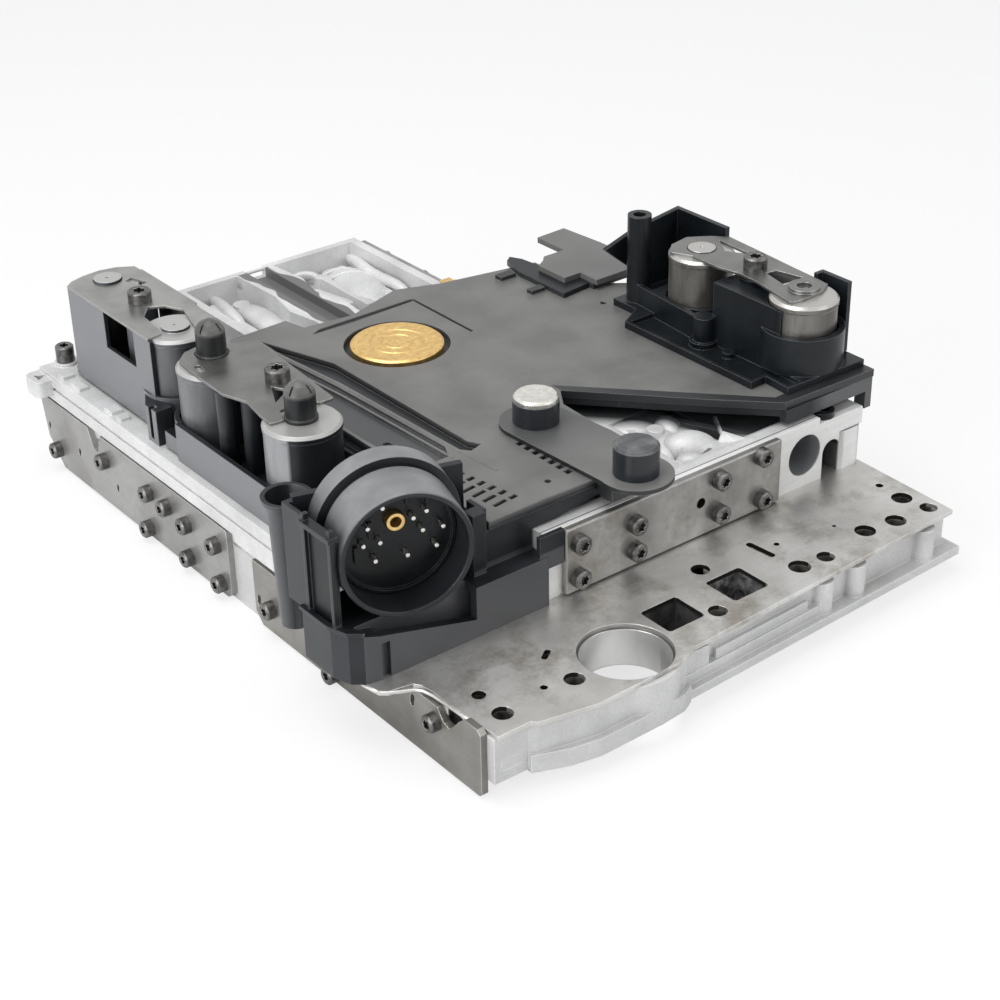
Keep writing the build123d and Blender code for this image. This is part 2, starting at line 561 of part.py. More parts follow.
with BuildPart() as conductor_frame:
    with BuildSketch(Plane.XY.offset(65.0)):
        with BuildLine():
            Polyline(*floor_edge, close=True)
        make_face()
    extrude(amount=lid_z - 65.0)
    # Connector block on the separator plate, with a rounded near corner and hollow from below
    with BuildSketch(Plane.XY.offset(deck_z)):
        with BuildLine():
            Polyline((block_left, block_back), (block_left, 57.0), (-94.5, 49.0), (-90.0, 45.2), (-84.0, block_front),
                     (block_right, block_front), (block_right, block_back), close=True)
        make_face()
    extrude(amount=block_top - deck_z)
    with BuildSketch(Plane.XY.offset(deck_z)):
        with Locations((-49.5, 61.0)):
            Rectangle(86.0, 26.0)
    extrude(amount=block_top - deck_z - 3.0, mode=Mode.SUBTRACT)
    # Slanting scoop below the barrel, its back wall and the groove in the front face
    with BuildSketch(front_face):
        with BuildLine():
            Polyline((-90.0, 54.0), (-90.0, 51.4), (-38.0, 38.0), (-38.0, 54.0), close=True)
        make_face()
    extrude(amount=-9.0, mode=Mode.SUBTRACT)
    with BuildSketch(Plane.XY.offset(deck_z)):
        with Locations((-53.5, 53.0)):
            Rectangle(78.0, 2.5)
    extrude(amount=block_top - deck_z)
    with BuildSketch(Plane.XY.offset(deck_z)):
        with Locations((-81.0, block_front)):
            Rectangle(4.0, 5.0)
    extrude(amount=16.0, mode=Mode.SUBTRACT)
    # Ledge strip round the block's left end
    with BuildSketch(Plane.XY.offset(block_top)):
        with BuildLine():
            Polyline((-98.4, 76.0), (-98.4, 57.0), (-95.6, 48.0), (-91.0, 44.2), (-90.0, 44.2), (-90.0, 47.0),
                     (-93.0, 50.0), (-96.0, 58.0), (-96.0, 76.0), close=True)
        make_face()
    extrude(amount=1.4)
    # Left wall beside the barrel with two upright ribs and a cap
    with BuildSketch(Plane.XY.offset(50.6)):
        with Locations((-94.3, 71.0)):
            Rectangle(1.8, 34.0)
        with Locations((-91.0, 87.0)):
            Rectangle(8.0, 2.4)
    extrude(amount=42.0)
    with BuildSketch(Plane.XY.offset(block_top)):
        with Locations((-95.6, 54.6), (-95.6, 71.6)):
            Rectangle(2.4, 1.8)
    extrude(amount=43.0)
    with BuildSketch(Plane.XY.offset(90.6)):
        with Locations((-95.6, 63.0)):
            Rectangle(4.4, 20.0)
    extrude(amount=2.0)
    # Wall square to the connector axis that backs the collar
    with BuildSketch(plug_plane.offset(plug_back)):
        with Locations((0.0, 6.4)):
            Rectangle(68.0, 43.6)
    extrude(amount=3.0)
    # Upright strip right of the barrel, the box behind it and the wedge over the front wall
    with BuildSketch(Plane.XY.offset(block_top)):
        with Locations((-30.6, 54.0)):
            Rectangle(6.0, 6.0)
        with Locations((-26.6, 58.0)):
            Rectangle(2.0, 10.0)
    extrude(amount=27.0)
    with BuildSketch(Plane.XY.offset(block_top - 1)):
        with Locations((-14.4, 64.5)):
            Rectangle(22.8, 22.0)
    extrude(amount=lid_z - block_top + 1)
    with BuildSketch(Plane(origin=(0, 53.5, 0), x_dir=(1, 0, 0), z_dir=(0, -1, 0))):
        with BuildLine():
            Polyline((-25.6, 51.0), (-25.6, lid_z), (34.0, lid_z), (34.0, 65.0), (9.0, 61.6), (-3.0, 61.6),
                     (-3.0, 51.0), close=True)
        make_face()
    extrude(amount=-3.0)
    # Thin apron in front of the left end of the upper casting
    with BuildSketch(Plane.XY.offset(46.6)):
        with Locations((0.2, 45.6)):
            Rectangle(12.4, 2.2)
    extrude(amount=15.4)
    # Solenoid pocket: outer wall that wraps round the rear can, floor, cups and links
    with BuildSketch(Plane.XY.offset(ledge_z)):
        with Locations((-49.5, 160.0)):
            Rectangle(45.0, 104.0)
        with Locations(front_can[0]):
            Circle(19.2)
        with Locations((-38.0, 216.0)):
            Rectangle(22.0, 24.8)
    extrude(amount=pocket_top - ledge_z)
    with BuildSketch(Plane.XY.offset(ledge_z + 2.0)):
        with Locations((-49.4, 160.5)):
            Rectangle(40.8, 101.0)
        with Locations(*front_can):
            Circle(front_can_r + 0.4)
        with Locations((-38.0, 216.0)):
            Rectangle(18.0, 20.8)
    extrude(amount=30.0, mode=Mode.SUBTRACT)
    with BuildSketch(Plane.XY.offset(ledge_z + 1.0)):
        with Locations((-49.5, 140.2), (-49.5, 205.0)):
            Rectangle(42.0, 40.0)
        with Locations(*front_can):
            Circle(front_can_r + 0.4, mode=Mode.SUBTRACT)
    extrude(amount=8.0)
    with BuildSketch(Plane.XY.offset(ledge_z + 1.0)):
        with Locations(post_a):
            Circle(7.0)
    extrude(amount=front_cap_z - ledge_z - 1.0)
    with BuildSketch(Plane.XY.offset(ledge_z + 1.0)):
        with Locations((-34.0, 190.0), (-33.0, 165.0), (-40.0, 113.0)):
            Rectangle(5.0, 9.0)
    extrude(amount=22.0)
    with BuildSketch(Plane.XY.offset(ledge_z + 1.0)):
        with Locations((-55.0, 175.0), (-61.5, 184.5)):
            Circle(4.2)
    extrude(amount=front_cap_z - ledge_z - 1.5)
    with BuildSketch(Plane.XY.offset(54.6)):
        with Locations((-50.0, 92.0)):
            Rectangle(48.0, 36.0)
        with Locations((-75.0, 97.0)):
            Rectangle(8.0, 6.0)
    extrude(amount=6.0)
    with BuildSketch(Plane.XY.offset(60.0)):
        with Locations((-25.5, 150.0)):
            Rectangle(3.0, 180.0)
        with Locations((-28.0, 88.0)):
            Rectangle(5.0, 42.0)
    extrude(amount=lid_z - 60.0)
    # Right bar with its hook
    with BuildSketch(Plane.XY.offset(62.5)):
        with Locations((162.0, 52.3)):
            Rectangle(53.0, 4.4)
        with Locations((186.5, 80.0)):
            Rectangle(4.0, 56.0)
    extrude(amount=lid_z - 62.5)
    with BuildSketch(Plane.XY.offset(54.0)):
        with Locations((186.5, 53.2)):
            Rectangle(4.0, 6.2)
    extrude(amount=9.0)
    # Oil guide tube: tapered body and flared mouth, tied to the left wall and to the pocket
    with BuildSketch(Plane(origin=tube_at + (0.0,), x_dir=(1, 0, 0), z_dir=(0, -1, 0))):
        with BuildLine():
            Polyline((0, deck_z), (6.2, deck_z), (7.9, tube_top - 7), (8.2, tube_top - 4.5), (10.2, tube_top - 1.6),
                     (10.2, tube_top), (0, tube_top), close=True)
        make_face()
    revolve(axis=Axis(tube_at + (0.0,), (0, 0, 1)))
    with BuildSketch(Plane.XY.offset(60.0)):
        with Locations((-86.2, 89.5), (-78.0, 97.0)):
            Rectangle(5.0, 7.0)
    extrude(amount=6.0)
    with BuildSketch(Plane(origin=tube_at + (0.0,), x_dir=(1, 0, 0), z_dir=(0, -1, 0))):
        with BuildLine():
            Polyline((0, deck_z), (4.9, deck_z), (6.3, tube_top - 7), (8.4, tube_top), (0, tube_top), close=True)
        make_face()
    revolve(axis=Axis(tube_at + (0.0,), (0, 0, 1)), mode=Mode.SUBTRACT)
    # Room for the collar of the connector
    with BuildSketch(plug_plane.offset(plug_len - 4.0)):
        Circle(collar_r + 0.3)
        with Locations((0.0, plug_z - block_top + 20.0)):
            Rectangle(80.0, 40.0, mode=Mode.SUBTRACT)
    extrude(amount=plug_back - plug_len + 4.0, mode=Mode.SUBTRACT)
    # Screw hole in the pocket's post
    with BuildSketch(Plane.XY.offset(front_cap_z)):
        with Locations(post_a):
            Circle(screw_hole_r)
    extrude(amount=-16.0, mode=Mode.SUBTRACT)
save(conductor_frame.part, "conductor_frame")


# Satin lid of the conductor plate, with the disc opening, the long wedge and the comb slots
disc_x, disc_y, disc_r = 42.6, 207.7, 21.6
with BuildPart() as conductor_lid:
    with BuildSketch(Plane.XY.offset(lid_z)):
        with BuildLine():
            Polyline(*lid_edge, close=True)
        make_face()
    extrude(amount=lid_t)
    with BuildSketch(Plane.XY.offset(lid_top)):
        with Locations((disc_x, disc_y)):
            Circle(disc_r + 3.0)
    extrude(amount=-3.0, mode=Mode.SUBTRACT)
    with BuildSketch(Plane.XY.offset(lid_top)):
        with BuildLine():
            Polyline((-4.0, 250.0), (5.0, 222.0), (9.0, 209.0), (10.0, 112.0), (13.0, 106.0), (6.0, 104.0),
                     (3.0, 108.0), (0.0, 190.0), (-4.5, 235.0), close=True)
        make_face()
    extrude(amount=-3.0, mode=Mode.SUBTRACT)
    # Thin chevron groove round the disc panel
    with BuildSketch(Plane.XY.offset(lid_top)):
        with BuildLine():
            Polyline((18.0, 241.0), (24.0, 244.0), (76.5, 244.2), (78.0, 243.0), (78.0, 196.0), (76.2, 196.0),
                     (76.2, 241.6), (40.0, 240.0), close=True)
        make_face()
    extrude(amount=-1.6, mode=Mode.SUBTRACT)
    # Slots: long slit beside the pocket, comb near the connector, comb below the sensor arm
    with BuildSketch(Plane.XY.offset(lid_top)):
        with Locations((-16.0, 116.0)):
            SlotOverall(38.0, 3.6, rotation=90)
        for i in range(7):
            with Locations((-17.0 + 0.9 * i, 96.0 - 5.6 * i)):
                Rectangle(7.0, 2.2, rotation=8)
        for i in range(6):
            with Locations((-9.5 + 1.0 * i, 91.0 - 5.6 * i)):
                Rectangle(4.0, 2.4, rotation=8)
        for i in range(7):
            with Locations((25.5, 96.0 - 5.2 * i)):
                Rectangle(3.6, 3.0)
        with Locations((144.0, 181.0)):
            Circle(1.6)
        with Locations((14.0, 64.0)):
            Circle(1.5)
    extrude(amount=-2.6, mode=Mode.SUBTRACT)
    # Shallow trough between the wedge and the solenoid pocket, and the thin rails that stand in it
    with BuildSketch(Plane.XY.offset(lid_top)):
        with BuildLine():
            Polyline((-22.5, 236.0), (-7.0, 236.0), (-3.0, 190.0), (0.0, 114.0), (-4.0, 106.0), (-20.0, 106.0),
                     (-22.5, 140.0), close=True)
        make_face()
    extrude(amount=-1.4, mode=Mode.SUBTRACT)
    with BuildSketch(Plane.XY.offset(lid_top - 1.8)):
        with BuildLine():
            Polyline((-6.2, 236.0), (-5.4, 236.0), (-0.6, 190.0), (2.4, 108.0), (4.6, 84.0), (3.4, 84.0),
                     (1.2, 108.0), (-1.8, 190.0), close=True)
        make_face()
        with BuildLine():
            Polyline((-11.0, 225.0), (-10.2, 225.0), (-6.0, 180.0), (-3.0, 104.0), (-4.0, 104.0), (-7.0, 180.0),
                     close=True)
        make_face()
    extrude(amount=2.0)
    # Raised grip blocks at the back edge
    with BuildSketch(Plane.XY.offset(lid_top)):
        with Locations((126.6, 234.0)):
            Rectangle(9.0, 5.0)
        with Locations((127.2, 211.2)):
            Rectangle(8.0, 4.0)
    extrude(amount=2.4)
save(conductor_lid.part, "conductor_lid")

with BuildPart() as sealing_disc:
    with BuildSketch(Plane.XZ) as disc_profile:
        with BuildLine():
            Polyline(
                (0, 0), (21.6, 0), (21.6, 3.4), (20.6, 4.2), (13.0, 4.2), (12.5, 3.7), (12.0, 4.2), (7.6, 4.2),
                (7.1, 3.7), (6.6, 4.2), (0.9, 4.2), (0, 3.2), close=True,
            )
        make_face()
    revolve(axis=Axis.Z)
save(Pos(disc_x, disc_y, lid_top - 3.0) * sealing_disc.part, "sealing_disc")

with BuildPart() as contact_tab:
    with BuildSketch(Plane.XY.offset(lid_z - 1.0)):
        with Locations((105.0, 248.0)):
            Rectangle(14.0, 15.0)
        with Locations((108.0, 257.0)):
            Rectangle(6.0, 5.0)
    extrude(amount=1.0)
save(contact_tab.part, "contact_tab")


# Connector: round barrel open to the front with a collar, insert, eleven pins and the centre bush
with BuildPart() as connector_shell:
    with BuildSketch(plug_plane):
        Circle(plug_r)
    extrude(amount=plug_len)
    with BuildSketch(plug_plane.offset(plug_len)):
        Circle(collar_r)
    extrude(amount=plug_back - plug_len)
    with BuildSketch(plug_plane):
        Circle(plug_r - plug_wall)
    extrude(amount=plug_back - 3.0, mode=Mode.SUBTRACT)
    # Thin groove in front of the collar and the flat that rests on the block
    with BuildSketch(plug_plane.offset(plug_len - 1.6)):
        Circle(plug_r + 1.0)
        Circle(plug_r - 0.9, mode=Mode.SUBTRACT)
    extrude(amount=1.6, mode=Mode.SUBTRACT)
    with Locations((plug_x, plug_y + 30.0, block_top - 10.0)):
        Box(90.0, 90.0, 20.0, mode=Mode.SUBTRACT)
    mouth = connector_shell.edges().filter_by(GeomType.CIRCLE).sort_by(Axis.Y)[0:2]
    fillet(mouth, 0.8)
save(connector_shell.part, "connector_shell")

pins = (
    (-5.7, 15.9), (6.1, 9.1), (11.4, 11.1), (9.6, 3.2), (17.7, 3.1), (-11.9, 8.4), (-7.3, 1.4), (-13.9, 1.3),
    (3.2, -6.3), (14.8, -4.6), (-9.5, -6.1),
)
bush_at = (-0.4, 8.1)
insert_at = 15.0
with BuildPart() as connector_insert:
    with BuildSketch(plug_plane.offset(insert_at)):
        Circle(plug_r - plug_wall - 0.3)
        with Locations((bush_at[0], -bush_at[1])):
            Circle(3.9, mode=Mode.SUBTRACT)
    extrude(amount=6.0)
    with BuildSketch(plug_plane.offset(insert_at + 6.0)):
        Circle(plug_r - plug_wall - 0.3)
    extrude(amount=plug_back - 3.0 - insert_at - 6.0)
    # Ribs between the contacts
    with BuildSketch(plug_plane.offset(insert_at)):
        with Locations((5.0, -17.0), (13.0, -16.0)):
            Rectangle(1.6, 8.0, rotation=-18)
        with Locations((-10.0, -5.5), (-15.0, 3.0)):
            Rectangle(1.6, 8.0, rotation=12)
        Circle(plug_r - plug_wall - 0.3)
        Circle(plug_r - plug_wall - 1.8, mode=Mode.SUBTRACT)
        with Locations((5.0, -17.0), (13.0, -16.0), (-10.0, -5.5), (-16.0, 4.0)):
            Rectangle(1.6, 7.0)
    extrude(amount=-1.4)
    for a, b in pins:
        with BuildSketch(plug_plane.offset(insert_at - 1.4)):
            with Locations((a, -b)):
                Circle(1.15)
        extrude(amount=5.4, mode=Mode.SUBTRACT)
save(connector_insert.part, "connector_insert")

with BuildPart() as connector_pins:
    for a, b in pins:
        with BuildSketch(plug_plane.offset(10.4)):
            with Locations((a, -b)):
                Circle(0.85)
        extrude(amount=insert_at + 4.0 - 10.4)
save(connector_pins.part, "connector_pins")

with BuildPart() as connector_bush:
    with BuildSketch(plug_plane.offset(insert_at - 3.0)):
        with Locations((bush_at[0], -bush_at[1])):
            Circle(3.6)
            Circle(2.3, mode=Mode.SUBTRACT)
    extrude(amount=9.0)
save(connector_bush.part, "connector_bush")


# Sensor arm with its two round sensor heads
arm_top = lid_top + 2.0
head_1 = (41.2, 105.0)
head_2 = (43.5, 44.2)
with BuildPart() as sensor_arm:
    with BuildSketch(Plane.XY.offset(lid_top)):
        with BuildLine():
            Polyline((25.4, 105.0), (28.4, 44.6), (59.0, 44.0), (59.4, 78.0), (57.0, 104.6), close=True)
        make_face()
        with Locations(head_1):
            Circle(15.8)
        with Locations(head_2):
            Circle(15.6)
    extrude(amount=2.0)
    with BuildSketch(Plane.XY.offset(lid_top - 5.2)):
        with Locations(head_2):
            Circle(15.6)
        with BuildLine():
            Polyline((-2.0, 54.5), (34.0, 53.6), (48.0, 61.0), (62.0, 80.0), (62.0, 41.0), (-2.0, 41.0), close=True)
        make_face(mode=Mode.INTERSECT)
    extrude(amount=5.2)
    with BuildSketch(Plane.XY.offset(lid_top - 5.2)):
        with BuildLine():
            Polyline(*lid_edge, close=True)
        make_face()
        offset(amount=0.2)
    extrude(amount=5.2, mode=Mode.SUBTRACT)
save(sensor_arm.part, "sensor_arm")

with BuildPart() as sensor_heads:
    with BuildSketch(Plane.XY.offset(arm_top)):
        with Locations(head_1):
            Circle(10.0)
    extrude(amount=10.0)
    with BuildSketch(Plane.XY.offset(arm_top)):
        with Locations(head_2):
            Circle(9.5)
    extrude(amount=13.5)
    chamfer(sensor_heads.edges().filter_by(GeomType.CIRCLE).sort_by(Axis.Z)[-1], 1.3)
save(sensor_heads.part, "sensor_heads")

with BuildPart() as sensor_cap:
    with BuildSketch(Plane.XY.offset(arm_top + 10.0)):
        with Locations(head_1):
            Circle(9.6)
    extrude(amount=2.4)
    chamfer(sensor_cap.edges().filter_by(GeomType.CIRCLE).sort_by(Axis.Z)[-1], 0.9)
save(sensor_cap.part, "sensor_cap")


# Flat position sensor at the back right: two thin stepped plates
with BuildPart() as position_sensor_base:
    with BuildSketch(Plane.XY.offset(lid_top)):
        with BuildLine():
            Polyline((137.0, 246.0), (141.0, 249.0), (144.0, 243.0), (146.0, 226.0), (184.0, 226.0), (184.0, 196.0),
                     (150.5, 196.0), (150.5, 199.0), (133.0, 197.0), (133.0, 231.0), close=True)
        make_face()
    extrude(amount=2.6)
save(position_sensor_base.part, "position_sensor_base")

with BuildPart() as position_sensor_cover:
    with BuildSketch(Plane.XY.offset(lid_top + 2.6)):
        with BuildLine():
            Polyline((141.0, 226.0), (146.0, 229.0), (150.0, 233.0), (163.0, 233.0), (163.0, 254.0), (181.0, 255.0),
                     (183.0, 229.0), (183.0, 194.0), (151.0, 194.0), (151.0, 206.0), (141.0, 206.0), close=True)
        make_face()
    extrude(amount=2.8)
save(position_sensor_cover.part, "position_sensor_cover")


# Right carrier: stepped base, tall walls between the two solenoids, cup, posts and rear gusset
base_top = lid_top + 3.5
post_x, post_y = 154.5, 168.0
stub_x, stub_y = 146.5, 114.8
screw_c = (168.0, 105.5)
with BuildPart() as right_carrier:
    with BuildSketch(Plane.XY.offset(lid_top)):
        with BuildLine():
            Polyline((133.0, 153.0), (133.0, 70.0), (142.0, 70.5), (141.0, 56.0), (187.0, 54.5), (187.0, 150.0),
                     (188.0, 176.0), (146.0, 176.0), (146.0, 160.0), close=True)
        make_face()
    extrude(amount=base_top - lid_top)
    with BuildSketch(Plane.XY.offset(lid_top + 1.4)):
        with BuildLine():
            Polyline((134.6, 151.0), (134.6, 71.8), (143.4, 71.8), (142.4, 57.4), (150.0, 57.4), (150.0, 151.0),
                     close=True)
        make_face()
    extrude(amount=4.0, mode=Mode.SUBTRACT)
    with BuildSketch(Plane.XY.offset(base_top)):
        with Locations((168.0, 98.0)):
            Rectangle(36.0, 30.0)
        with Locations((154.0, 92.0)):
            Rectangle(8.0, 42.0)
    extrude(amount=28.0)
    with BuildSketch(Plane.XY.offset(base_top)):
        with Locations(right_can[1]):
            Circle(can_r + 3.4)
    extrude(amount=17.0)
    with BuildSketch(Plane.XY.offset(base_top)):
        with Locations(right_can[0]):
            Circle(can_r + 2.4)
        with Locations((157.0, 146.0)):
            Rectangle(14.0, 20.0)
    extrude(amount=9.0)
    for x, y in right_can:
        with BuildSketch(Plane.XY.offset(base_top)):
            with Locations((x, y)):
                Circle(can_r + 0.6)
        extrude(amount=40.0, mode=Mode.SUBTRACT)
    with BuildSketch(Plane.XY.offset(base_top - 1.0)):
        with Locations((stub_x, stub_y)):
            Circle(4.8)
    extrude(amount=13.0)
    with BuildSketch(Plane.XY.offset(lid_top + 1.4)):
        with Locations((stub_x, stub_y)):
            Circle(6.4)
        with Locations((146.0, 98.0)):
            Circle(2.6)
    extrude(amount=2.6)
    with BuildSketch(Plane.XY.offset(lid_top)):
        with Locations((post_x, post_y)):
            Circle(5.6)
    extrude(amount=46.0)
    # Triangular rear wall, right wall and the low wall in front of the rear can
    with BuildSketch(Plane(origin=(0, 176.0, 0), x_dir=(1, 0, 0), z_dir=(0, -1, 0))):
        with BuildLine():
            Polyline((140.7, 101.7), (159.2, 107.2), (188.2, 111.0), (188.2, lid_top), (168.0, lid_top), (168.0, 80.0),
                     (155.8, 89.2), (148.0, 95.5), close=True)
        make_face()
    extrude(amount=-2.4)
    with BuildSketch(Plane.XY.offset(base_top)):
        with Locations((187.0, 160.0)):
            Rectangle(2.4, 34.0)
    extrude(amount=111.0 - base_top)
    with BuildSketch(Plane.XY.offset(lid_top)):
        with Locations((post_x + 1.5, 174.0)):
            Rectangle(3.0, 5.0)
    extrude(amount=30.0)
    with BuildSketch(Plane.XY.offset(lid_top)):
        with Locations((149.6, 143.0)):
            Rectangle(2.4, 56.0, rotation=-5)
    extrude(amount=13.0)
    # Upright tab right of the near can
    with BuildSketch(Plane.XY.offset(base_top)):
        with Locations((186.6, 74.0)):
            Rectangle(2.2, 17.0)
        with Locations((184.9, 82.0)):
            Rectangle(5.4, 2.0)
    extrude(amount=109.5 - base_top)
    with BuildSketch(Plane.XY.offset(lid_top + 46.0)):
        with Locations((post_x, post_y)):
            Circle(3.1)
    extrude(amount=-40.0, mode=Mode.SUBTRACT)
    with BuildSketch(Plane.XY.offset(base_top)):
        with Locations(screw_c):
            Circle(6.5)
    extrude(amount=right_cap_z - base_top)
    with BuildSketch(Plane.XY.offset(right_cap_z)):
        with Locations(screw_c):
            Circle(screw_hole_r)
    extrude(amount=-16.0, mode=Mode.SUBTRACT)
save(right_carrier.part, "right_carrier")


# Rear left carrier: thin box with a window that holds two solenoids
rear_x0 = -66.0
rear_top = rear_cap_z
screw_r1 = (-49.0, 277.0)
with BuildPart() as rear_carrier:
    with BuildSketch(Plane.XY.offset(ledge_z + 1.6)):
        with BuildLine():
            Polyline((rear_x0, 230.0), (-31.0, 230.0), (-31.0, 309.0), (-34.0, 322.0), (-42.0, 328.0),
                     (-55.0, 328.0), (-62.0, 322.0), (rear_x0, 316.0), close=True)
        make_face()
    extrude(amount=3.0)
    with BuildSketch(Plane.XY.offset(ledge_z + 4.6)):
        with Locations((rear_x0 + 0.9, 277.0)):
            Rectangle(1.8, 76.0)
        with Locations((-31.8, 277.0)):
            Rectangle(1.6, 30.0)
        with Locations(screw_r1):
            Circle(7.5)
    extrude(amount=rear_top - ledge_z - 4.6)
    with BuildSketch(Plane.XY.offset(ledge_z + 4.6)):
        with Locations(rear_can[0]):
            Circle(can_r + 2.0)
        with Locations(rear_can[1]):
            Circle(can_r + 2.0)
    extrude(amount=14.0)
    # Plinth in front with its slit, then the notch that shows as a dark window
    with BuildSketch(Plane.XY.offset(ledge_z)):
        with BuildLine():
            Polyline((pocket_left, 222.5), (-66.5, 226.0), (-63.5, 229.5), (rear_x0 + 1.8, 236.0),
                     (rear_x0 + 1.8, 252.0), (pocket_left, 238.0), close=True)
        make_face()
    extrude(amount=17.0)
    with BuildSketch(Plane.XY.offset(ledge_z)):
        with Locations((-40.0, 218.9)):
            Rectangle(80.0, 20.0)
        with BuildLine():
            Polyline((pocket_left - 1, 200.0), (pocket_left - 1, 222.4), (-66.5, 225.9), (-63.4, 229.4),
                     (-60.0, 229.4), (-60.0, 200.0), close=True)
        make_face()
    extrude(amount=60.0, mode=Mode.SUBTRACT)
    with BuildSketch(Plane.XY.offset(ledge_z + 4.6)):
        with Locations(*rear_can):
            Circle(can_r + 0.4)
    extrude(amount=60.0, mode=Mode.SUBTRACT)
    with BuildSketch(Plane(origin=(rear_x0 - 2, 267.5, 87.5), x_dir=(0, 1, 0), z_dir=(1, 0, 0))):
        Rectangle(27.0, 20.0)
    extrude(amount=5.0, mode=Mode.SUBTRACT)
    with BuildSketch(Plane(origin=(pocket_left - 1, 234.0, 60.0), x_dir=(0, 1, 0), z_dir=(1, 0, 0))):
        Rectangle(2.6, 16.0)
    extrude(amount=4.0, mode=Mode.SUBTRACT)
    with BuildSketch(Plane.XY.offset(rear_top)):
        with Locations(screw_r1):
            Circle(screw_hole_r)
    extrude(amount=-16.0, mode=Mode.SUBTRACT)
save(rear_carrier.part, "rear_carrier")


# Solenoids: a pressed can on a foot with a stepped cap and a small raised disc; each one is sealed
def solenoid(x, y, foot_z, cap_z, radius, disc_r, disc_h):
    height = cap_z - foot_z
    with BuildPart() as can:
        with BuildSketch(Plane.XZ):
            with BuildLine():
                Polyline(
                    (0, 0), (radius - 2.0, 0), (radius - 2.0, 3.0), (radius - 0.4, 3.0), (radius - 0.4, height - 3.5),
                    (radius, height - 3.0), (radius, height - 1.2), (radius - 1.2, height), (disc_r, height),
                    *(((disc_r, height + disc_h),) if disc_h else ()), (0.9, height + disc_h),
                    (0.9, height + disc_h - 0.6), (0, height + disc_h - 0.6), close=True,
                )
            make_face()
        revolve(axis=Axis.Z)
    return Pos(x, y, foot_z) * can.part


disc_small = 6.4
leaf_t = 1.2
solenoid_places = (
    ("rear_solenoid_1", rear_can[0], ledge_z + 4.6, rear_cap_z, can_r, 2.4),
    ("rear_solenoid_2", rear_can[1], ledge_z + 4.6, rear_cap_z, can_r, 1.6),
    ("front_solenoid_1", front_can[0], ledge_z + 2.0, front_cap_z, front_can_r, 0.0),
    ("front_solenoid_2", front_can[1], ledge_z + 2.0, front_cap_z, front_can_r, 0.0),
    ("right_solenoid_1", right_can[0], base_top, right_cap_z, can_r, 1.6),
    ("right_solenoid_2", right_can[1], base_top, right_cap_z, can_r, 0.0),
)
for name, (x, y), foot_z, cap_z, radius, rise in solenoid_places:
    can = solenoid(x, y, foot_z, cap_z, radius, disc_small, rise)
    save(can, name)


# Leaf retainers: sprung steel plates that press the solenoids down, each held by one screw
plug_at = ((-48.5, 216.0), (-51.4, 141.4))
with BuildPart() as front_retainer:
    with BuildSketch(Plane.XY.offset(front_cap_z)) as leaf:
        with BuildLine():
            Polyline((-65.0, 207.5), (-63.9, 217.8), (-57.6, 223.8), (-51.3, 225.4), (-43.0, 223.2), (-36.0, 217.5),
                     (-26.8, 214.0), (-28.5, 190.0), (-30.5, 165.0), (-32.2, 146.2), (-39.1, 146.1), (-43.0, 150.5),
                     (-56.0, 151.0), (-57.2, 142.5), (-65.0, 143.4), (-64.0, 152.5), (-61.7, 166.7), (-65.6, 179.0),
                     close=True)
        make_face()
        fillet(leaf.vertices(), 1.2)
        with BuildLine():
            Polyline((-46.5, 171.5), (-43.0, 164.7), (-53.3, 157.6), close=True)
        make_face(mode=Mode.SUBTRACT)
        with Locations((-60.9, 205.5)):
            SlotOverall(7.4, 2.6, rotation=80, mode=Mode.SUBTRACT)
        with Locations(post_a):
            Circle(screw_hole_r + 0.2, mode=Mode.SUBTRACT)
        with Locations(*plug_at):
            Circle(7.6, mode=Mode.SUBTRACT)
    extrude(amount=leaf_t)
save(front_retainer.part, "front_retainer")

with BuildPart() as rear_retainer:
    with BuildSketch(Plane.XY.offset(rear_cap_z)):
        with BuildLine():
            Polyline((-66.0, 240.6), (-66.0, 315.0), (-62.0, 318.4), (-55.4, 320.6), (-46.0, 321.8), (-38.0, 320.0),
                     (-30.6, 315.3), (-30.6, 262.0), (-32.6, 242.0), (-44.2, 235.9), (-38.2, 257.8), (-42.0, 266.0),
                     (-49.0, 270.2), (-55.5, 262.0), (-56.9, 246.5), (-58.3, 241.6), close=True)
        make_face()
        with Locations(rear_can[0]):
            Circle(disc_small + 0.4, mode=Mode.SUBTRACT)
        with Locations((-39.0, 299.0)):
            Rectangle(4.6, 10.0, rotation=20, mode=Mode.SUBTRACT)
        with Locations(screw_r1):
            Circle(screw_hole_r + 0.2, mode=Mode.SUBTRACT)
    extrude(amount=leaf_t)
    # Flange bent down at the right side
    with BuildSketch(Plane.XY.offset(rear_cap_z + leaf_t)):
        with Locations((-30.4, 285.0)):
            Rectangle(leaf_t, 50.0)
    extrude(amount=-7.0)
save(rear_retainer.part, "rear_retainer")

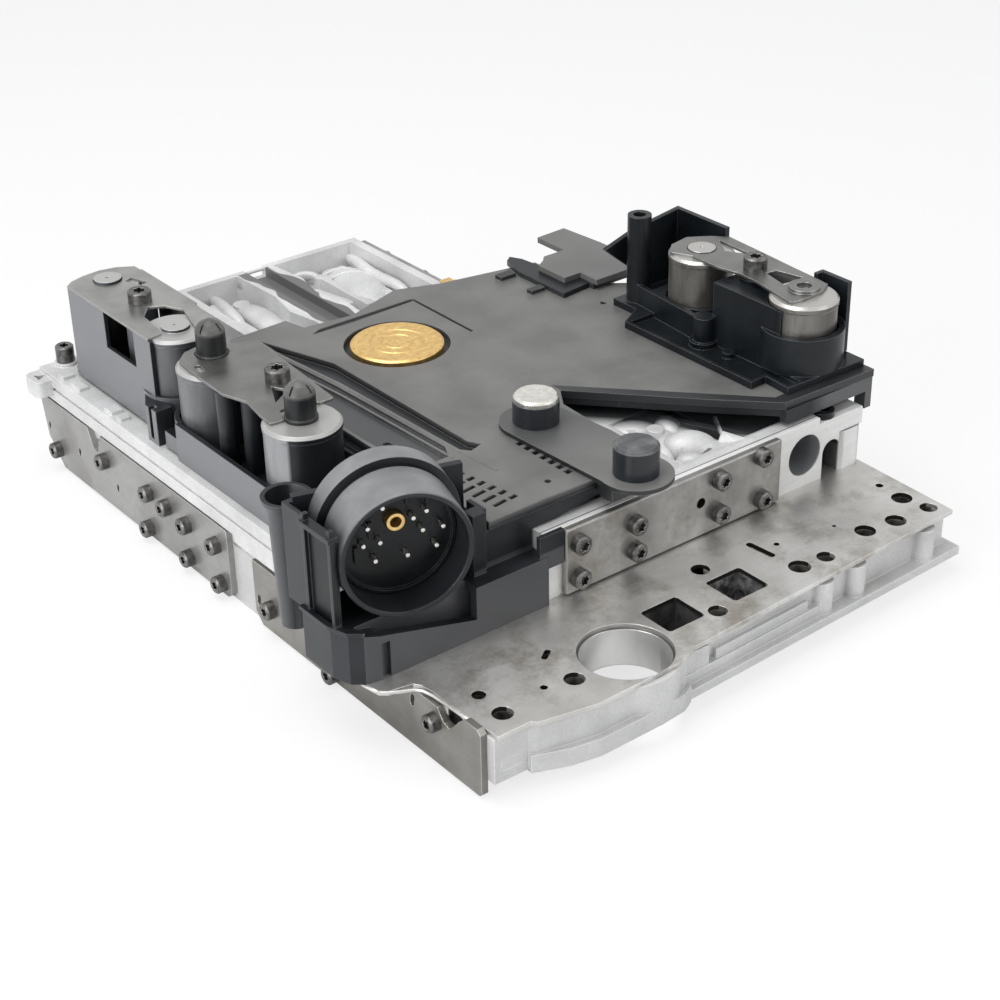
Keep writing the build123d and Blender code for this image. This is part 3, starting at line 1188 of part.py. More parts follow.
ring_at = (168.6, 75.8)
with BuildPart() as right_retainer:
    with BuildSketch(Plane.XY.offset(right_cap_z)) as leaf:
        with BuildLine():
            Polyline((151.6, 143.8), (158.1, 149.9), (169.4, 152.0), (179.0, 145.7), (184.8, 139.3), (183.4, 118.5),
                     (181.6, 96.0), (180.6, 80.0), (179.6, 72.0), (172.0, 68.2), (159.5, 67.8), (153.4, 69.0),
                     (155.8, 82.7), (158.2, 95.0), (158.7, 106.2), (156.3, 117.1), (156.5, 134.1), close=True)
        make_face()
        fillet(leaf.vertices(), 1.2)
        with BuildLine():
            Polyline((167.8, 98.5), (173.5, 97.5), (176.8, 84.5), (164.5, 83.8), close=True)
        make_face(mode=Mode.SUBTRACT)
        with BuildLine():
            Polyline((178.4, 139.5), (177.6, 118.0), (171.5, 128.5), close=True)
        make_face(mode=Mode.SUBTRACT)
        with Locations(right_can[0]):
            Circle(disc_small + 0.4, mode=Mode.SUBTRACT)
        with Locations(screw_c):
            Circle(screw_hole_r + 0.2, mode=Mode.SUBTRACT)
    extrude(amount=leaf_t)
    # Raised ring at the near end
    with BuildSketch(Plane.XY.offset(right_cap_z)):
        with Locations(ring_at):
            Circle(7.0)
    extrude(amount=2.6)
    with BuildSketch(Plane.XY.offset(right_cap_z)):
        with Locations(ring_at):
            Circle(3.4)
    extrude(amount=3.0, mode=Mode.SUBTRACT)
save(right_retainer.part, "right_retainer")

leaf_screw = cap_screw(5.4, 6.0, screw_r, 12.0)
with BuildPart() as retainer_screws:
    with Locations(
        post_a + (front_cap_z + leaf_t,),
        screw_r1 + (rear_cap_z + leaf_t,),
        screw_c + (right_cap_z + leaf_t,),
    ):
        add(leaf_screw)
save(retainer_screws.part, "retainer_screws")


# Black plugs on the two front solenoids: a round stem with a small foot, a blunt cone and four grooves
with BuildPart() as front_plug:
    with BuildSketch(Plane.XZ):
        with BuildLine():
            Polyline((0, 0), (7.1, 0), (7.1, 1.4), (6.6, 1.8), (6.5, 12.0), (5.9, 13.6), (4.2, 15.6), (1.6, 16.8),
                     (0, 16.8), close=True)
        make_face()
    revolve(axis=Axis.Z)
    with BuildSketch(Plane.XY.offset(16.8)):
        with PolarLocations(5.6, 4, start_angle=20):
            Rectangle(4.4, 0.9)
    extrude(amount=-4.4, mode=Mode.SUBTRACT)
for number, (x, y) in enumerate(plug_at, start=1):
    save(Pos(x, y, front_cap_z) * front_plug.part, "front_solenoid_plug_" + str(number))


# Ring seal on the right end of the upper casting
with BuildPart() as end_seal_ring:
    with BuildSketch(Plane.XY.offset(ledge_z + 8.0)):
        with Locations((160.0, 53.0)):
            Circle(5.7)
            Circle(3.6, mode=Mode.SUBTRACT)
    extrude(amount=3.0)
save(end_seal_ring.part, "end_seal_ring")
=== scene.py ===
import bpy
import bmesh
from math import radians
from mathutils import Matrix, Vector


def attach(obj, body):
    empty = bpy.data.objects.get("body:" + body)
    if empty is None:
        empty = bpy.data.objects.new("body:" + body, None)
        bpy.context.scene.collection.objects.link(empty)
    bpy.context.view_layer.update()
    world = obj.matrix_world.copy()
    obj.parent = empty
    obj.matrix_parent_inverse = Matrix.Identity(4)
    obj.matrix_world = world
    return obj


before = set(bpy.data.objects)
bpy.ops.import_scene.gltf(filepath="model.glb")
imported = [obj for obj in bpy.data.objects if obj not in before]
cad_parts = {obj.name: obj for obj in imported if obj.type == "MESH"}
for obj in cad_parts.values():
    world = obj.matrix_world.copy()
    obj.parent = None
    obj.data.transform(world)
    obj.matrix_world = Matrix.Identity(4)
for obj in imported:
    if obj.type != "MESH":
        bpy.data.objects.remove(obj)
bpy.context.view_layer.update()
scene = bpy.context.scene


# The studio: a plain pale floor, a surround and three soft lamps.
# To the camera the floor is mostly a white glow, which keeps its shadows faint. The surround is white
# to the camera, a little weaker in gloss and weakest as light.
floor_level = -0.028
floor_half = 3.0


def new_piece(name, bm):
    mesh = bpy.data.meshes.new(name)
    bm.to_mesh(mesh)
    bm.free()
    piece = bpy.data.objects.new(name, mesh)
    scene.collection.objects.link(piece)
    return piece


floor_bm = bmesh.new()
floor_place = Matrix.Translation((0, 0, floor_level))
bmesh.ops.create_grid(floor_bm, x_segments=1, y_segments=1, size=floor_half, matrix=floor_place)
floor = new_piece("studio_floor", floor_bm)

floor_glow = 0.74
surround_light = 0.42
surround_in_gloss = 0.75


def combine(tree, way, first, *others):
    for other in others:
        node = tree.nodes.new("ShaderNodeMath")
        node.operation = way
        tree.links.new(first, node.inputs[0])
        if isinstance(other, float):
            node.inputs[1].default_value = other
        else:
            tree.links.new(other, node.inputs[1])
        first = node.outputs[0]
    return first


def light_of(tree, kind, colour, strength):
    node = tree.nodes.new(kind)
    node.inputs["Color"].default_value = (*colour, 1)
    node.inputs["Strength"].default_value = strength
    return node


def mix_into(tree, share, first, second, out):
    mix = tree.nodes.new("ShaderNodeMixShader")
    tree.links.new(share, mix.inputs["Fac"])
    tree.links.new(first.outputs[0], mix.inputs[1])
    tree.links.new(second.outputs[0], mix.inputs[2])
    tree.links.new(mix.outputs[0], out.inputs["Surface"])


floor_paint = bpy.data.materials.new("studio_floor_paint")
floor_paint.use_nodes = True
tree = floor_paint.node_tree
tree.nodes.clear()
matt = tree.nodes.new("ShaderNodeBsdfDiffuse")
matt.inputs["Color"].default_value = (0.90, 0.90, 0.90, 1)
glow = light_of(tree, "ShaderNodeEmission", (1, 1, 1), 1.0)
ray = tree.nodes.new("ShaderNodeLightPath").outputs
seen = combine(tree, "MULTIPLY", ray["Is Camera Ray"], floor_glow)
mix_into(tree, seen, matt, glow, tree.nodes.new("ShaderNodeOutputMaterial"))
floor.data.materials.append(floor_paint)

surround = bpy.data.worlds.new("studio_surround")
scene.world = surround
surround.use_nodes = True
tree = surround.node_tree
tree.nodes.clear()
plain = light_of(tree, "ShaderNodeBackground", (0.98, 0.99, 1.0), surround_light)
white = light_of(tree, "ShaderNodeBackground", (1, 1, 1), 1.0)
ray = tree.nodes.new("ShaderNodeLightPath").outputs
in_gloss = combine(tree, "MULTIPLY", ray["Is Glossy Ray"], surround_in_gloss)
seen = combine(tree, "MAXIMUM", ray["Is Camera Ray"], ray["Is Transmission Ray"], in_gloss)
mix_into(tree, seen, plain, white, tree.nodes.new("ShaderNodeOutputWorld"))

for name, place, aim, size, power in (
    ("top_softbox", (-0.25, 0.30, 1.32), (0.05, 0.12, 0.02), 0.9, 11.0),
    ("left_softbox", (-1.30, -0.10, 0.52), (0.0, 0.15, 0.02), 0.9, 11.0),
    ("front_softbox", (0.65, -1.15, 0.82), (0.05, 0.10, 0.02), 0.8, 6.0),
):
    lamp = bpy.data.lights.new(name, "AREA")
    lamp.size = size
    lamp.energy = power
    lamp_object = bpy.data.objects.new(name, lamp)
    lamp_object.location = place
    lamp_object.rotation_euler = (Vector(place) - Vector(aim)).to_track_quat("Z", "Y").to_euler()
    scene.collection.objects.link(lamp_object)


# The camera stands where the photograph was taken from, above the near left corner.
# Its place and lens were solved from corners that the photograph shows.
camera_data = bpy.data.cameras.new("photo_camera")
camera_data.sensor_width = 36.0
camera_data.lens = 71.489
camera_data.clip_start = 0.05
camera_data.clip_end = 20.0
camera = bpy.data.objects.new("photo_camera", camera_data)
camera.location = (-0.42358, -0.47393, 0.43369)
camera.rotation_euler = (radians(60.1626), radians(1.0404), radians(-38.1297))
scene.collection.objects.link(camera)
scene.camera = camera
scene.view_settings.view_transform = "Standard"


# Lower casting: a sand cast housing of aluminium alloy, blasted, with its joint face milled flat.
# The skin is grainy and mottled; its ports below the plate are painted dark as shade, in mottled brownish
# tones.
def dress(node, material):
    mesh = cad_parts[node].data
    mesh.materials.clear()
    mesh.materials.append(material)


def new_finish(name):
    material = bpy.data.materials.new(name)
    material.use_nodes = True
    tree = material.node_tree
    shader = tree.nodes["Principled BSDF"]
    place = tree.nodes.new("ShaderNodeTexCoord")
    return material, tree, shader, place.outputs["Object"]


def grain(tree, place, scale, detail=4.0, roughness=0.55, stretch=None):
    texture = tree.nodes.new("ShaderNodeTexNoise")
    texture.inputs["Scale"].default_value = scale
    texture.inputs["Detail"].default_value = detail
    texture.inputs["Roughness"].default_value = roughness
    if stretch:
        mapping = tree.nodes.new("ShaderNodeMapping")
        mapping.inputs["Scale"].default_value = stretch
        tree.links.new(place, mapping.inputs["Vector"])
        place = mapping.outputs["Vector"]
    tree.links.new(place, texture.inputs["Vector"])
    return texture.outputs["Fac"]


def grey(value):
    return (value, value, value)


def tones(tree, value, low, dark, high, light):
    ramp = tree.nodes.new("ShaderNodeValToRGB")
    ramp.color_ramp.elements[0].position = low
    ramp.color_ramp.elements[0].color = (*dark, 1)
    ramp.color_ramp.elements[1].position = high
    ramp.color_ramp.elements[1].color = (*light, 1)
    tree.links.new(value, ramp.inputs["Fac"])
    return ramp.outputs["Color"]


def spread(tree, value, from_low, from_high, to_low, to_high):
    node = tree.nodes.new("ShaderNodeMapRange")
    node.inputs["From Min"].default_value = from_low
    node.inputs["From Max"].default_value = from_high
    node.inputs["To Min"].default_value = to_low
    node.inputs["To Max"].default_value = to_high
    tree.links.new(value, node.inputs["Value"])
    return node.outputs["Result"]


def rising(tree, value, start, end):
    # None at the start and all at the end
    return spread(tree, value, start, end, 0.0, 1.0)


def falling(tree, value, start, end):
    # All at the start and none at the end
    return spread(tree, value, start, end, 1.0, 0.0)


def overlap(tree, *shares):
    return combine(tree, "MULTIPLY", *shares)


def between(tree, value, low, high, soft=0.0003):
    return overlap(tree, rising(tree, value, low - soft, low + soft),
                   falling(tree, value, high - soft, high + soft))


def axes_of(tree, vector):
    node = tree.nodes.new("ShaderNodeSeparateXYZ")
    tree.links.new(vector, node.inputs[0])
    return node.outputs["X"], node.outputs["Y"], node.outputs["Z"]


def facing(tree):
    node = tree.nodes.new("ShaderNodeNewGeometry")
    return axes_of(tree, node.outputs["Normal"])


def round_patch(tree, first, second, centre, radius, soft, inside=1.0, outside=0.0):
    # A circle across two axes, found from the square of the distance to its centre
    over_first = combine(tree, "SUBTRACT", first, centre[0])
    over_second = combine(tree, "SUBTRACT", second, centre[1])
    square = combine(tree, "ADD", combine(tree, "MULTIPLY", over_first, over_first),
                     combine(tree, "MULTIPLY", over_second, over_second))
    return spread(tree, square, (radius - soft) ** 2, (radius + soft) ** 2, inside, outside)


def blend_colours(tree, share, first, second, way="MIX"):
    node = tree.nodes.new("ShaderNodeMix")
    node.data_type = "RGBA"
    node.blend_type = way
    if isinstance(share, float):
        node.inputs["Factor"].default_value = share
    else:
        tree.links.new(share, node.inputs["Factor"])
    for colour, socket in ((first, node.inputs["A"]), (second, node.inputs["B"])):
        if isinstance(colour, tuple):
            socket.default_value = (*colour, 1)
        else:
            tree.links.new(colour, socket)
    return node.outputs["Result"]


def rounded_edges(tree, radius):
    node = tree.nodes.new("ShaderNodeBevel")
    node.samples = 4
    node.inputs["Radius"].default_value = radius
    return node.outputs["Normal"]


def edge_share(tree, rounded, full=0.72):
    # Edges are where the rounded normal leaves the flat one
    flat = tree.nodes.new("ShaderNodeNewGeometry")
    dot = tree.nodes.new("ShaderNodeVectorMath")
    dot.operation = "DOT_PRODUCT"
    tree.links.new(rounded, dot.inputs[0])
    tree.links.new(flat.outputs["Normal"], dot.inputs[1])
    return rising(tree, dot.outputs["Value"], 0.97, full)


def relief(tree, height, depth, strength, under):
    node = tree.nodes.new("ShaderNodeBump")
    node.inputs["Strength"].default_value = strength
    node.inputs["Distance"].default_value = depth
    tree.links.new(height, node.inputs["Height"])
    tree.links.new(under, node.inputs["Normal"])
    return node.outputs["Normal"]


neck_centre = (0.0, 0.0)
left_window = (0.019, 0.044)
right_window = (0.054, 0.079)


def cast_alloy_finish(name, dark, light, milled_above, milled_before, touch_up, smooth_neck=False):
    material, tree, shader, place = new_finish(name)
    x, y, z = axes_of(tree, place)
    _, face_y, face_z = facing(tree)
    skin = tones(tree, grain(tree, place, 30, 6), 0.34, dark, 0.68, light)
    speck = tones(tree, grain(tree, place, 900, 3), 0.36, grey(0.94), 0.60, grey(1.03))
    skin = blend_colours(tree, 1.0, skin, speck, "MULTIPLY")
    stain = spread(tree, grain(tree, place, 48, 5, 0.6), 0.56, 0.76, 0.0, 0.28)
    skin = blend_colours(tree, stain, skin, (0.50, 0.49, 0.47))
    # Milled faces look up above a set height, or towards the front before a set depth
    front = overlap(tree, rising(tree, face_y, -0.95, -0.99),
                    rising(tree, y, milled_before, milled_before - 0.0004))
    top = overlap(tree, rising(tree, face_z, 0.95, 0.99), falling(tree, y, 0.0500, 0.0506),
                  rising(tree, z, milled_above, milled_above + 0.0004))
    milled = combine(tree, "MAXIMUM", front, top)
    tool_marks = grain(tree, place, 60, 3, 0.6, (1, 9, 9))
    tool_lines = tones(tree, tool_marks, 0.3, (0.86, 0.86, 0.85), 0.7, (0.98, 0.98, 0.97))
    colour = blend_colours(tree, milled, skin, tool_lines)
    rounded = rounded_edges(tree, 0.0008)
    # Painted highlight along the rounded edges
    colour = blend_colours(tree, edge_share(tree, rounded, 0.75), colour, grey(0.93))
    colour = touch_up(tree, place, colour)
    if smooth_neck:
        # The filter neck is turned smooth and shines; its ledge under the plate is painted dark as shade
        neck = round_patch(tree, x, y, neck_centre, radius=0.01939, soft=0.0001)
        colour = blend_colours(tree, neck, colour, (0.74, 0.74, 0.73))
        shaded_ledge = overlap(tree, neck, rising(tree, face_z, 0.5, 0.9), rising(tree, z, -0.0012, -0.0008))
        colour = blend_colours(tree, shaded_ledge, colour, grey(0.14))
        milled = combine(tree, "MAXIMUM", milled, neck)
        tree.links.new(spread(tree, neck, 0, 1, 0.30, 0.85), shader.inputs["Metallic"])
    else:
        shader.inputs["Metallic"].default_value = 0.30
    tree.links.new(spread(tree, milled, 0, 1, 0.56, 0.32), shader.inputs["Roughness"])
    tree.links.new(colour, shader.inputs["Base Color"])
    rough_skin = overlap(tree, grain(tree, place, 1300, 3), spread(tree, milled, 0, 1, 1.0, 0.15))
    pits = relief(tree, rough_skin, 0.00018, 0.26, rounded)
    swell = relief(tree, grain(tree, place, 110, 3), 0.0012, 0.20, pits)
    tree.links.new(swell, shader.inputs["Normal"])
    return material


def painted_shade_in_ports(tree, place, colour):
    # Painted shade in the ports that open in the joint face, but not in the filter neck
    x, y, z = axes_of(tree, place)
    beyond_neck = round_patch(tree, x, y, neck_centre, radius=0.01949, soft=0.00026, inside=0.0, outside=1.0)
    ports = overlap(tree, between(tree, x, -0.0725, 0.1765), between(tree, y, -0.003, 0.046),
                    rising(tree, z, -0.0198, -0.0192), beyond_neck)
    port_mottle = grain(tree, place, 170, 4, 0.6)
    walls = tones(tree, port_mottle, 0.40, (0.030, 0.028, 0.025), 0.62, (0.150, 0.140, 0.125))
    # The two windows show more of the casting under the painted shade: pale and streaky right, dull left
    streaky = tones(tree, grain(tree, place, 130, 5, 0.65), 0.40, grey(0.035), 0.64, grey(0.42))
    port_shade = blend_colours(tree, between(tree, x, *right_window), walls, streaky)
    dull = tones(tree, grain(tree, place, 90, 4, 0.6), 0.40, grey(0.022), 0.70, grey(0.12))
    port_shade = blend_colours(tree, between(tree, x, *left_window), port_shade, dull)
    return blend_colours(tree, ports, colour, port_shade)


# No milled face of it shows, so both limits of milling lie outside the part
lower_casting_skin = cast_alloy_finish("lower_casting_skin", grey(0.50), grey(0.64), milled_above=0.5,
                                       milled_before=-0.5, touch_up=painted_shade_in_ports, smooth_neck=True)
dress("lower_valve_housing", lower_casting_skin)


# Separator plate: steel sheet, punched and ground, with clouded oil film and faint brown stains.
# Fine grinding lines run along the sheet and break its shine.
def ground_steel_finish(name, dark, light, line_stretch, stain, stain_colour, cloud_size, metal, lined,
                        touch_up=None):
    material, tree, shader, place = new_finish(name)
    lines = grain(tree, place, 70, 5, 0.65, line_stretch)
    cloud = grain(tree, place, cloud_size, 6, 0.62)
    colour = tones(tree, cloud, 0.36, dark, 0.64, light)
    streak = tones(tree, lines, 0.30, grey(1 - lined), 0.72, grey(1 + lined / 2))
    colour = blend_colours(tree, 1.0, colour, streak, "MULTIPLY")
    smudge = spread(tree, grain(tree, place, 28, 6, 0.70), 0.49, 0.66, 0.0, stain)
    colour = blend_colours(tree, smudge, colour, stain_colour)
    speck = spread(tree, grain(tree, place, 520, 2), 0.66, 0.74, 0.0, 0.35)
    colour = blend_colours(tree, speck, colour, stain_colour)
    rounded = rounded_edges(tree, 0.0004)
    # Painted highlight along the rounded edges
    colour = blend_colours(tree, edge_share(tree, rounded, 0.75), colour, (0.84, 0.83, 0.81))
    if touch_up:
        colour = touch_up(tree, place, colour)
    tree.links.new(colour, shader.inputs["Base Color"])
    shader.inputs["Metallic"].default_value = metal
    tree.links.new(spread(tree, cloud, 0.3, 0.7, 0.34, 0.46), shader.inputs["Roughness"])
    tree.links.new(relief(tree, lines, 0.00006, 0.3, rounded), shader.inputs["Normal"])
    return material


def painted_shade_in_holes(tree, place, colour):
    # The walls of the holes and windows are painted dark as shade, but not those of the neck
    x, y, _ = axes_of(tree, place)
    _, _, face_z = facing(tree)
    beyond_neck = round_patch(tree, x, y, neck_centre, radius=0.0200, soft=0.00025, inside=0.0, outside=1.0)
    upright = overlap(tree, rising(tree, face_z, 0.50, 0.40), rising(tree, face_z, -0.50, -0.40))
    inside = overlap(tree, between(tree, x, -0.0700, 0.1750), between(tree, y, 0.0005, 0.0460),
                     upright, beyond_neck)
    return blend_colours(tree, inside, colour, (0.055, 0.052, 0.048))


plate_steel = ground_steel_finish(
    "plate_steel", (0.50, 0.49, 0.47), (0.70, 0.695, 0.68), line_stretch=(1, 6, 6), stain=0.80,
    stain_colour=(0.28, 0.25, 0.21), cloud_size=16, metal=0.85, lined=0.06, touch_up=painted_shade_in_holes
)
dress("separator_plate", plate_steel)


# The punched left edge of the plate is rolled over into a bright rounded bead.
# It follows the waves of the edge below the connector.
def from_mm(x, y, z):
    # Heights in millimetres count from the floor
    return Vector((x / 1000, y / 1000, z / 1000 + floor_level))


def swept_ridge(name, stations, material, sides):
    # Each station gives a point, a half width and a half height, all in millimetres
    points = [from_mm(*station[:3]) for station in stations]
    small_end = Matrix.Diagonal((0.35, 0.35, 1, 1))
    end_reach = 0.7
    last = len(points) - 1
    poses = []
    for number, point in enumerate(points):
        ahead = points[min(number + 1, last)] - points[max(number - 1, 0)]
        turn = ahead.to_track_quat("Z", "Y").to_matrix().to_4x4()
        wide, high = stations[number][3] / 1000, stations[number][4] / 1000
        pose = Matrix.Translation(point) @ turn @ Matrix.Diagonal((wide, high, min(wide, high), 1))
        if number == 0:
            poses.append(pose @ Matrix.Translation((0, 0, -end_reach)) @ small_end)
        poses.append(pose)
        if number == last:
            poses.append(pose @ Matrix.Translation((0, 0, end_reach)) @ small_end)
    bm = bmesh.new()
    ring = bmesh.ops.create_circle(bm, cap_ends=False, segments=sides, radius=1.0)["verts"]
    last_pose = Matrix.Identity(4)
    for number, pose in enumerate(poses):
        if number:
            edges = [edge for edge in bm.edges if edge.verts[0] in ring and edge.verts[1] in ring]
            grown = bmesh.ops.extrude_edge_only(bm, edges=edges)["geom"]
            ring = [item for item in grown if isinstance(item, bmesh.types.BMVert)]
        bmesh.ops.transform(bm, matrix=pose @ last_pose.inverted(), verts=ring)
        last_pose = pose
    bmesh.ops.holes_fill(bm, edges=[edge for edge in bm.edges if edge.is_boundary], sides=sides)
    bmesh.ops.recalc_face_normals(bm, faces=bm.faces)
    for face in bm.faces:
        face.smooth = True
    piece = new_piece(name, bm)
    smooth = piece.modifiers.new("smooth", "SUBSURF")
    smooth.levels = 1
    smooth.render_levels = 1
    piece.data.materials.append(material)
    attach(piece, "valve_block")


bead_half = 0.9
bead_line = ((-73.2, 4, 29.2), (-73.6, 18, 29.2), (-74.2, 31, 29.2), (-80, 33.4, 29.2), (-86, 36.4, 29.2),
             (-89.4, 41, 29.2), (-90.2, 47, 29.2))
bead_stations = [(*point, bead_half, bead_half) for point in bead_line]
swept_ridge("plate_edge_bead", bead_stations, plate_steel, 8)


# Upper casting: the second housing, with a milled front face and tray rim and a rough cast back.
# Rounded channel walls swell out of it behind the front cover and in the two tray basins.
selector_bore = (0.1446, 0.0175)
lid_edge_start = (0.0694, 0.1230)
lid_edge_way = (0.734, 0.679)
dome_slit = (0.0952, 0.0581)


def distance_along(tree, first, second, start, way):
    # How far a point lies from the start, measured along one way across two axes
    steps = [combine(tree, "MULTIPLY", combine(tree, "SUBTRACT", axis, origin), share)
             for axis, origin, share in zip((first, second), start, way)]
    return combine(tree, "ADD", *steps)


def shaded_recesses(tree, place, colour):
    x, y, z = axes_of(tree, place)
    face_x, _, _ = facing(tree)
    # The valley of the tray and the rims beside it are dull, with a wavy bright border
    wave = spread(tree, grain(tree, place, 38, 1), 0.3, 0.7, -0.0035, 0.0035)
    valley = overlap(tree, between(tree, combine(tree, "ADD", x, wave), 0.0365, 0.0535),
                     rising(tree, y, 0.240, 0.242), rising(tree, z, 0.0325, 0.0335),
                     falling(tree, y, 0.3335, 0.3340))
    colour = blend_colours(tree, valley, colour, (0.17, 0.17, 0.168))
    # Below the slanting edge of the lid the casting is painted black as shade, but not on its outer right
    # wall
    slant = distance_along(tree, x, y, lid_edge_start, lid_edge_way)
    slant = combine(tree, "ADD", slant, spread(tree, x, 0.0960, 0.1060, -0.0065, 0.0))
    lid_shade = overlap(tree, rising(tree, slant, -0.0150, -0.0070), rising(tree, y, 0.0545, 0.0570),
                        falling(tree, y, 0.1290, 0.1300), falling(tree, face_x, 0.5, 0.9))
    colour = blend_colours(tree, lid_shade, colour, (0.035, 0.037, 0.040))
    # Painted shade for a narrow slit in the big dome behind the front cover, and for a seam along the front
    # wall
    along = distance_along(tree, x, y, dome_slit, (0.98, 0.20))
    across = distance_along(tree, x, y, dome_slit, (-0.20, 0.98))
    slit = overlap(tree, between(tree, along, -0.0036, 0.0036), between(tree, across, -0.0011, 0.0011),
                   rising(tree, z, 0.0300, 0.0310))
    colour = blend_colours(tree, slit, colour, (0.16, 0.16, 0.155))
    seam = overlap(tree, between(tree, y, 0.0491, 0.0500, 0.0002), rising(tree, z, 0.0325, 0.0329))
    colour = blend_colours(tree, seam, colour, (0.30, 0.30, 0.295))
    # The valve bores and the arch by the selector bore get black painted shade, the selector bore grey
    valve_bores = overlap(tree, between(tree, x, 0.0180, 0.1120), between(tree, z, 0.0080, 0.0270),
                          rising(tree, y, 0.0468, 0.0472), falling(tree, y, 0.0600, 0.0700))
    colour = blend_colours(tree, valve_bores, colour, grey(0.015))
    behind_front = rising(tree, y, 0.0474, 0.0480)
    bore = overlap(tree, behind_front, falling(tree, y, 0.1034, 0.1040),
                   round_patch(tree, x, z, selector_bore, radius=0.0100, soft=0.00005))
    colour = blend_colours(tree, bore, colour, (0.27, 0.275, 0.29))
    arch = overlap(tree, behind_front, between(tree, x, 0.1557, 0.1671), falling(tree, z, 0.0176, 0.0180),
                   falling(tree, y, 0.0605, 0.0615))
    return blend_colours(tree, arch, colour, grey(0.02))


upper_casting_skin = cast_alloy_finish("upper_casting_skin", grey(0.56), grey(0.76), milled_above=0.0215,
                                       milled_before=0.0472, touch_up=shaded_recesses)
dress("upper_valve_housing", upper_casting_skin)

channel_walls = {
    "front_channel_left": ((108, 94, 56, 4.6, 4), (101, 88, 57, 5, 4.4), (94, 82, 57, 5, 4.4),
                           (88, 76, 56, 5, 4.2), (83, 69, 54, 4.4, 4)),
    "front_slab": ((78, 101, 57, 5, 2), (85, 97.5, 58.4, 7.4, 2.6), (92, 94, 58.4, 7.4, 2.6),
                   (98, 91, 57, 5, 2)),
    "front_worm_near": ((78, 64, 56, 2, 2), (80.5, 61, 57.6, 2.4, 2.6), (82, 56, 57.6, 2.4, 2.6),
                        (83, 51, 56, 2, 2)),
    "front_rib_thin": ((117, 75.6, 62, 0.9, 1.6), (112.5, 69, 62.2, 0.9, 1.6),
                       (108.8, 62.6, 62.2, 0.9, 1.6)),
    "front_wall_lip": ((64, 53, 60.5, 2.6, 1.1), (78, 53, 60.6, 2.6, 1.1), (92, 53, 60.6, 2.6, 1.1),
                       (106, 53, 60.6, 2.6, 1.1), (119, 53, 60.5, 2.6, 1.1)),
    "front_channel_far": ((60, 86, 57.2, 4.4, 2.6), (68, 80, 58.6, 5, 3.6), (75, 72, 58.4, 5, 3.6),
                          (79, 66, 57, 4, 2.6)),
    "front_channel_side": ((50, 74, 54.5, 4, 3.6), (58, 69, 56, 4.4, 4), (66, 64, 56, 4.4, 4),
                           (72, 60, 54.5, 3.6, 3.4)),
    "tray_dome_right": ((84, 329, 55.5, 5, 3), (86, 318, 57, 10, 5.4), (86, 303, 57.5, 12, 6.4),
                        (83, 287, 57, 10.4, 5.6), (81, 277, 55, 6, 3.6)),
    "tray_worm_right": ((100, 332, 59, 2.8, 3), (99, 321, 60, 3.2, 3.4), (95.5, 310, 60.4, 3.4, 3.4),
                        (95, 297, 60.4, 3.4, 3.4), (98, 286, 60, 3.4, 3.2), (97, 276, 58, 3, 3)),
    "tray_hook_right": ((65, 333, 57, 1.8, 2), (70, 331.5, 58, 2.2, 2.4), (75, 328, 58, 2.4, 2.4),
                        (75, 322, 57, 2.2, 2.2)),
    "tray_step_right": ((61, 331, 55, 1.4, 2.4), (64, 318, 55, 1.4, 2.4), (67, 304, 55, 1.4, 2.4),
                        (66, 288, 55, 1.4, 2.4), (69, 272, 55, 1.4, 2.4)),
    "tray_end_right": ((92, 276, 58, 2.8, 2.6), (88, 270, 58.4, 3.2, 2.8), (86, 263, 57.6, 3, 2.6)),
    "tray_dome_left": ((26, 322, 55, 4, 3), (27, 312, 56.5, 7, 4.6), (27, 298, 57, 7.6, 5),
                       (25, 284, 56.4, 7, 4.4), (24, 274, 55, 4.6, 3)),
    "tray_worm_left": ((19, 333, 58, 2.8, 3), (17.5, 323, 59, 3.4, 3.6), (16, 312, 59, 3.6, 3.6),
                       (15, 301, 57.6, 3.4, 3.2)),
    "tray_rim_bridge": ((37.5, 335.6, 65.6, 0.9, 1.0), (42.5, 335.6, 65.8, 0.9, 1.0),
                        (47.5, 335.6, 65.8, 0.9, 1.0), (53, 335.6, 65.6, 0.9, 1.0)),
    "tray_bulge_left": ((9, 330, 57, 2.6, 3), (10, 318, 58, 3, 3), (9, 305, 57.4, 2.8, 2.8)),
}
for name, stations in channel_walls.items():
    swept_ridge(name, stations, upper_casting_skin, 12)


def cast_swelling(name, place, radii, turn):
    # An egg shaped swelling, in millimetres, turned in degrees about the upright
    pose = (Matrix.Translation(from_mm(*place)) @ Matrix.Rotation(radians(turn), 4, "Z")
            @ Matrix.Diagonal((radii[0] / 1000, radii[1] / 1000, radii[2] / 1000, 1)))
    bm = bmesh.new()
    bmesh.ops.create_uvsphere(bm, u_segments=40, v_segments=20, radius=1.0, matrix=pose)
    for face in bm.faces:
        face.smooth = True
    piece = new_piece(name, bm)
    piece.data.materials.append(upper_casting_skin)
    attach(piece, "valve_block")


for name, place, radii, turn in (
    ("front_dome_big", (96.6, 69.6, 56.5), (12.4, 9.0, 7.4), -38),
    ("front_dome_back", (99.5, 86.5, 58.6), (5.6, 8.5, 4.2), -20),
    ("front_dome_low", (87.0, 57.6, 57), (7.2, 5.4, 5.0), -38),
    ("front_web", (103.5, 57.6, 56), (14, 5.2, 4.6), 0),
    ("front_swell_left", (88, 85, 55.5), (8, 6, 4.6), -30),
    ("front_swell_right", (132, 67, 54), (10, 7, 4), 0),
):
    cast_swelling(name, place, radii, turn)

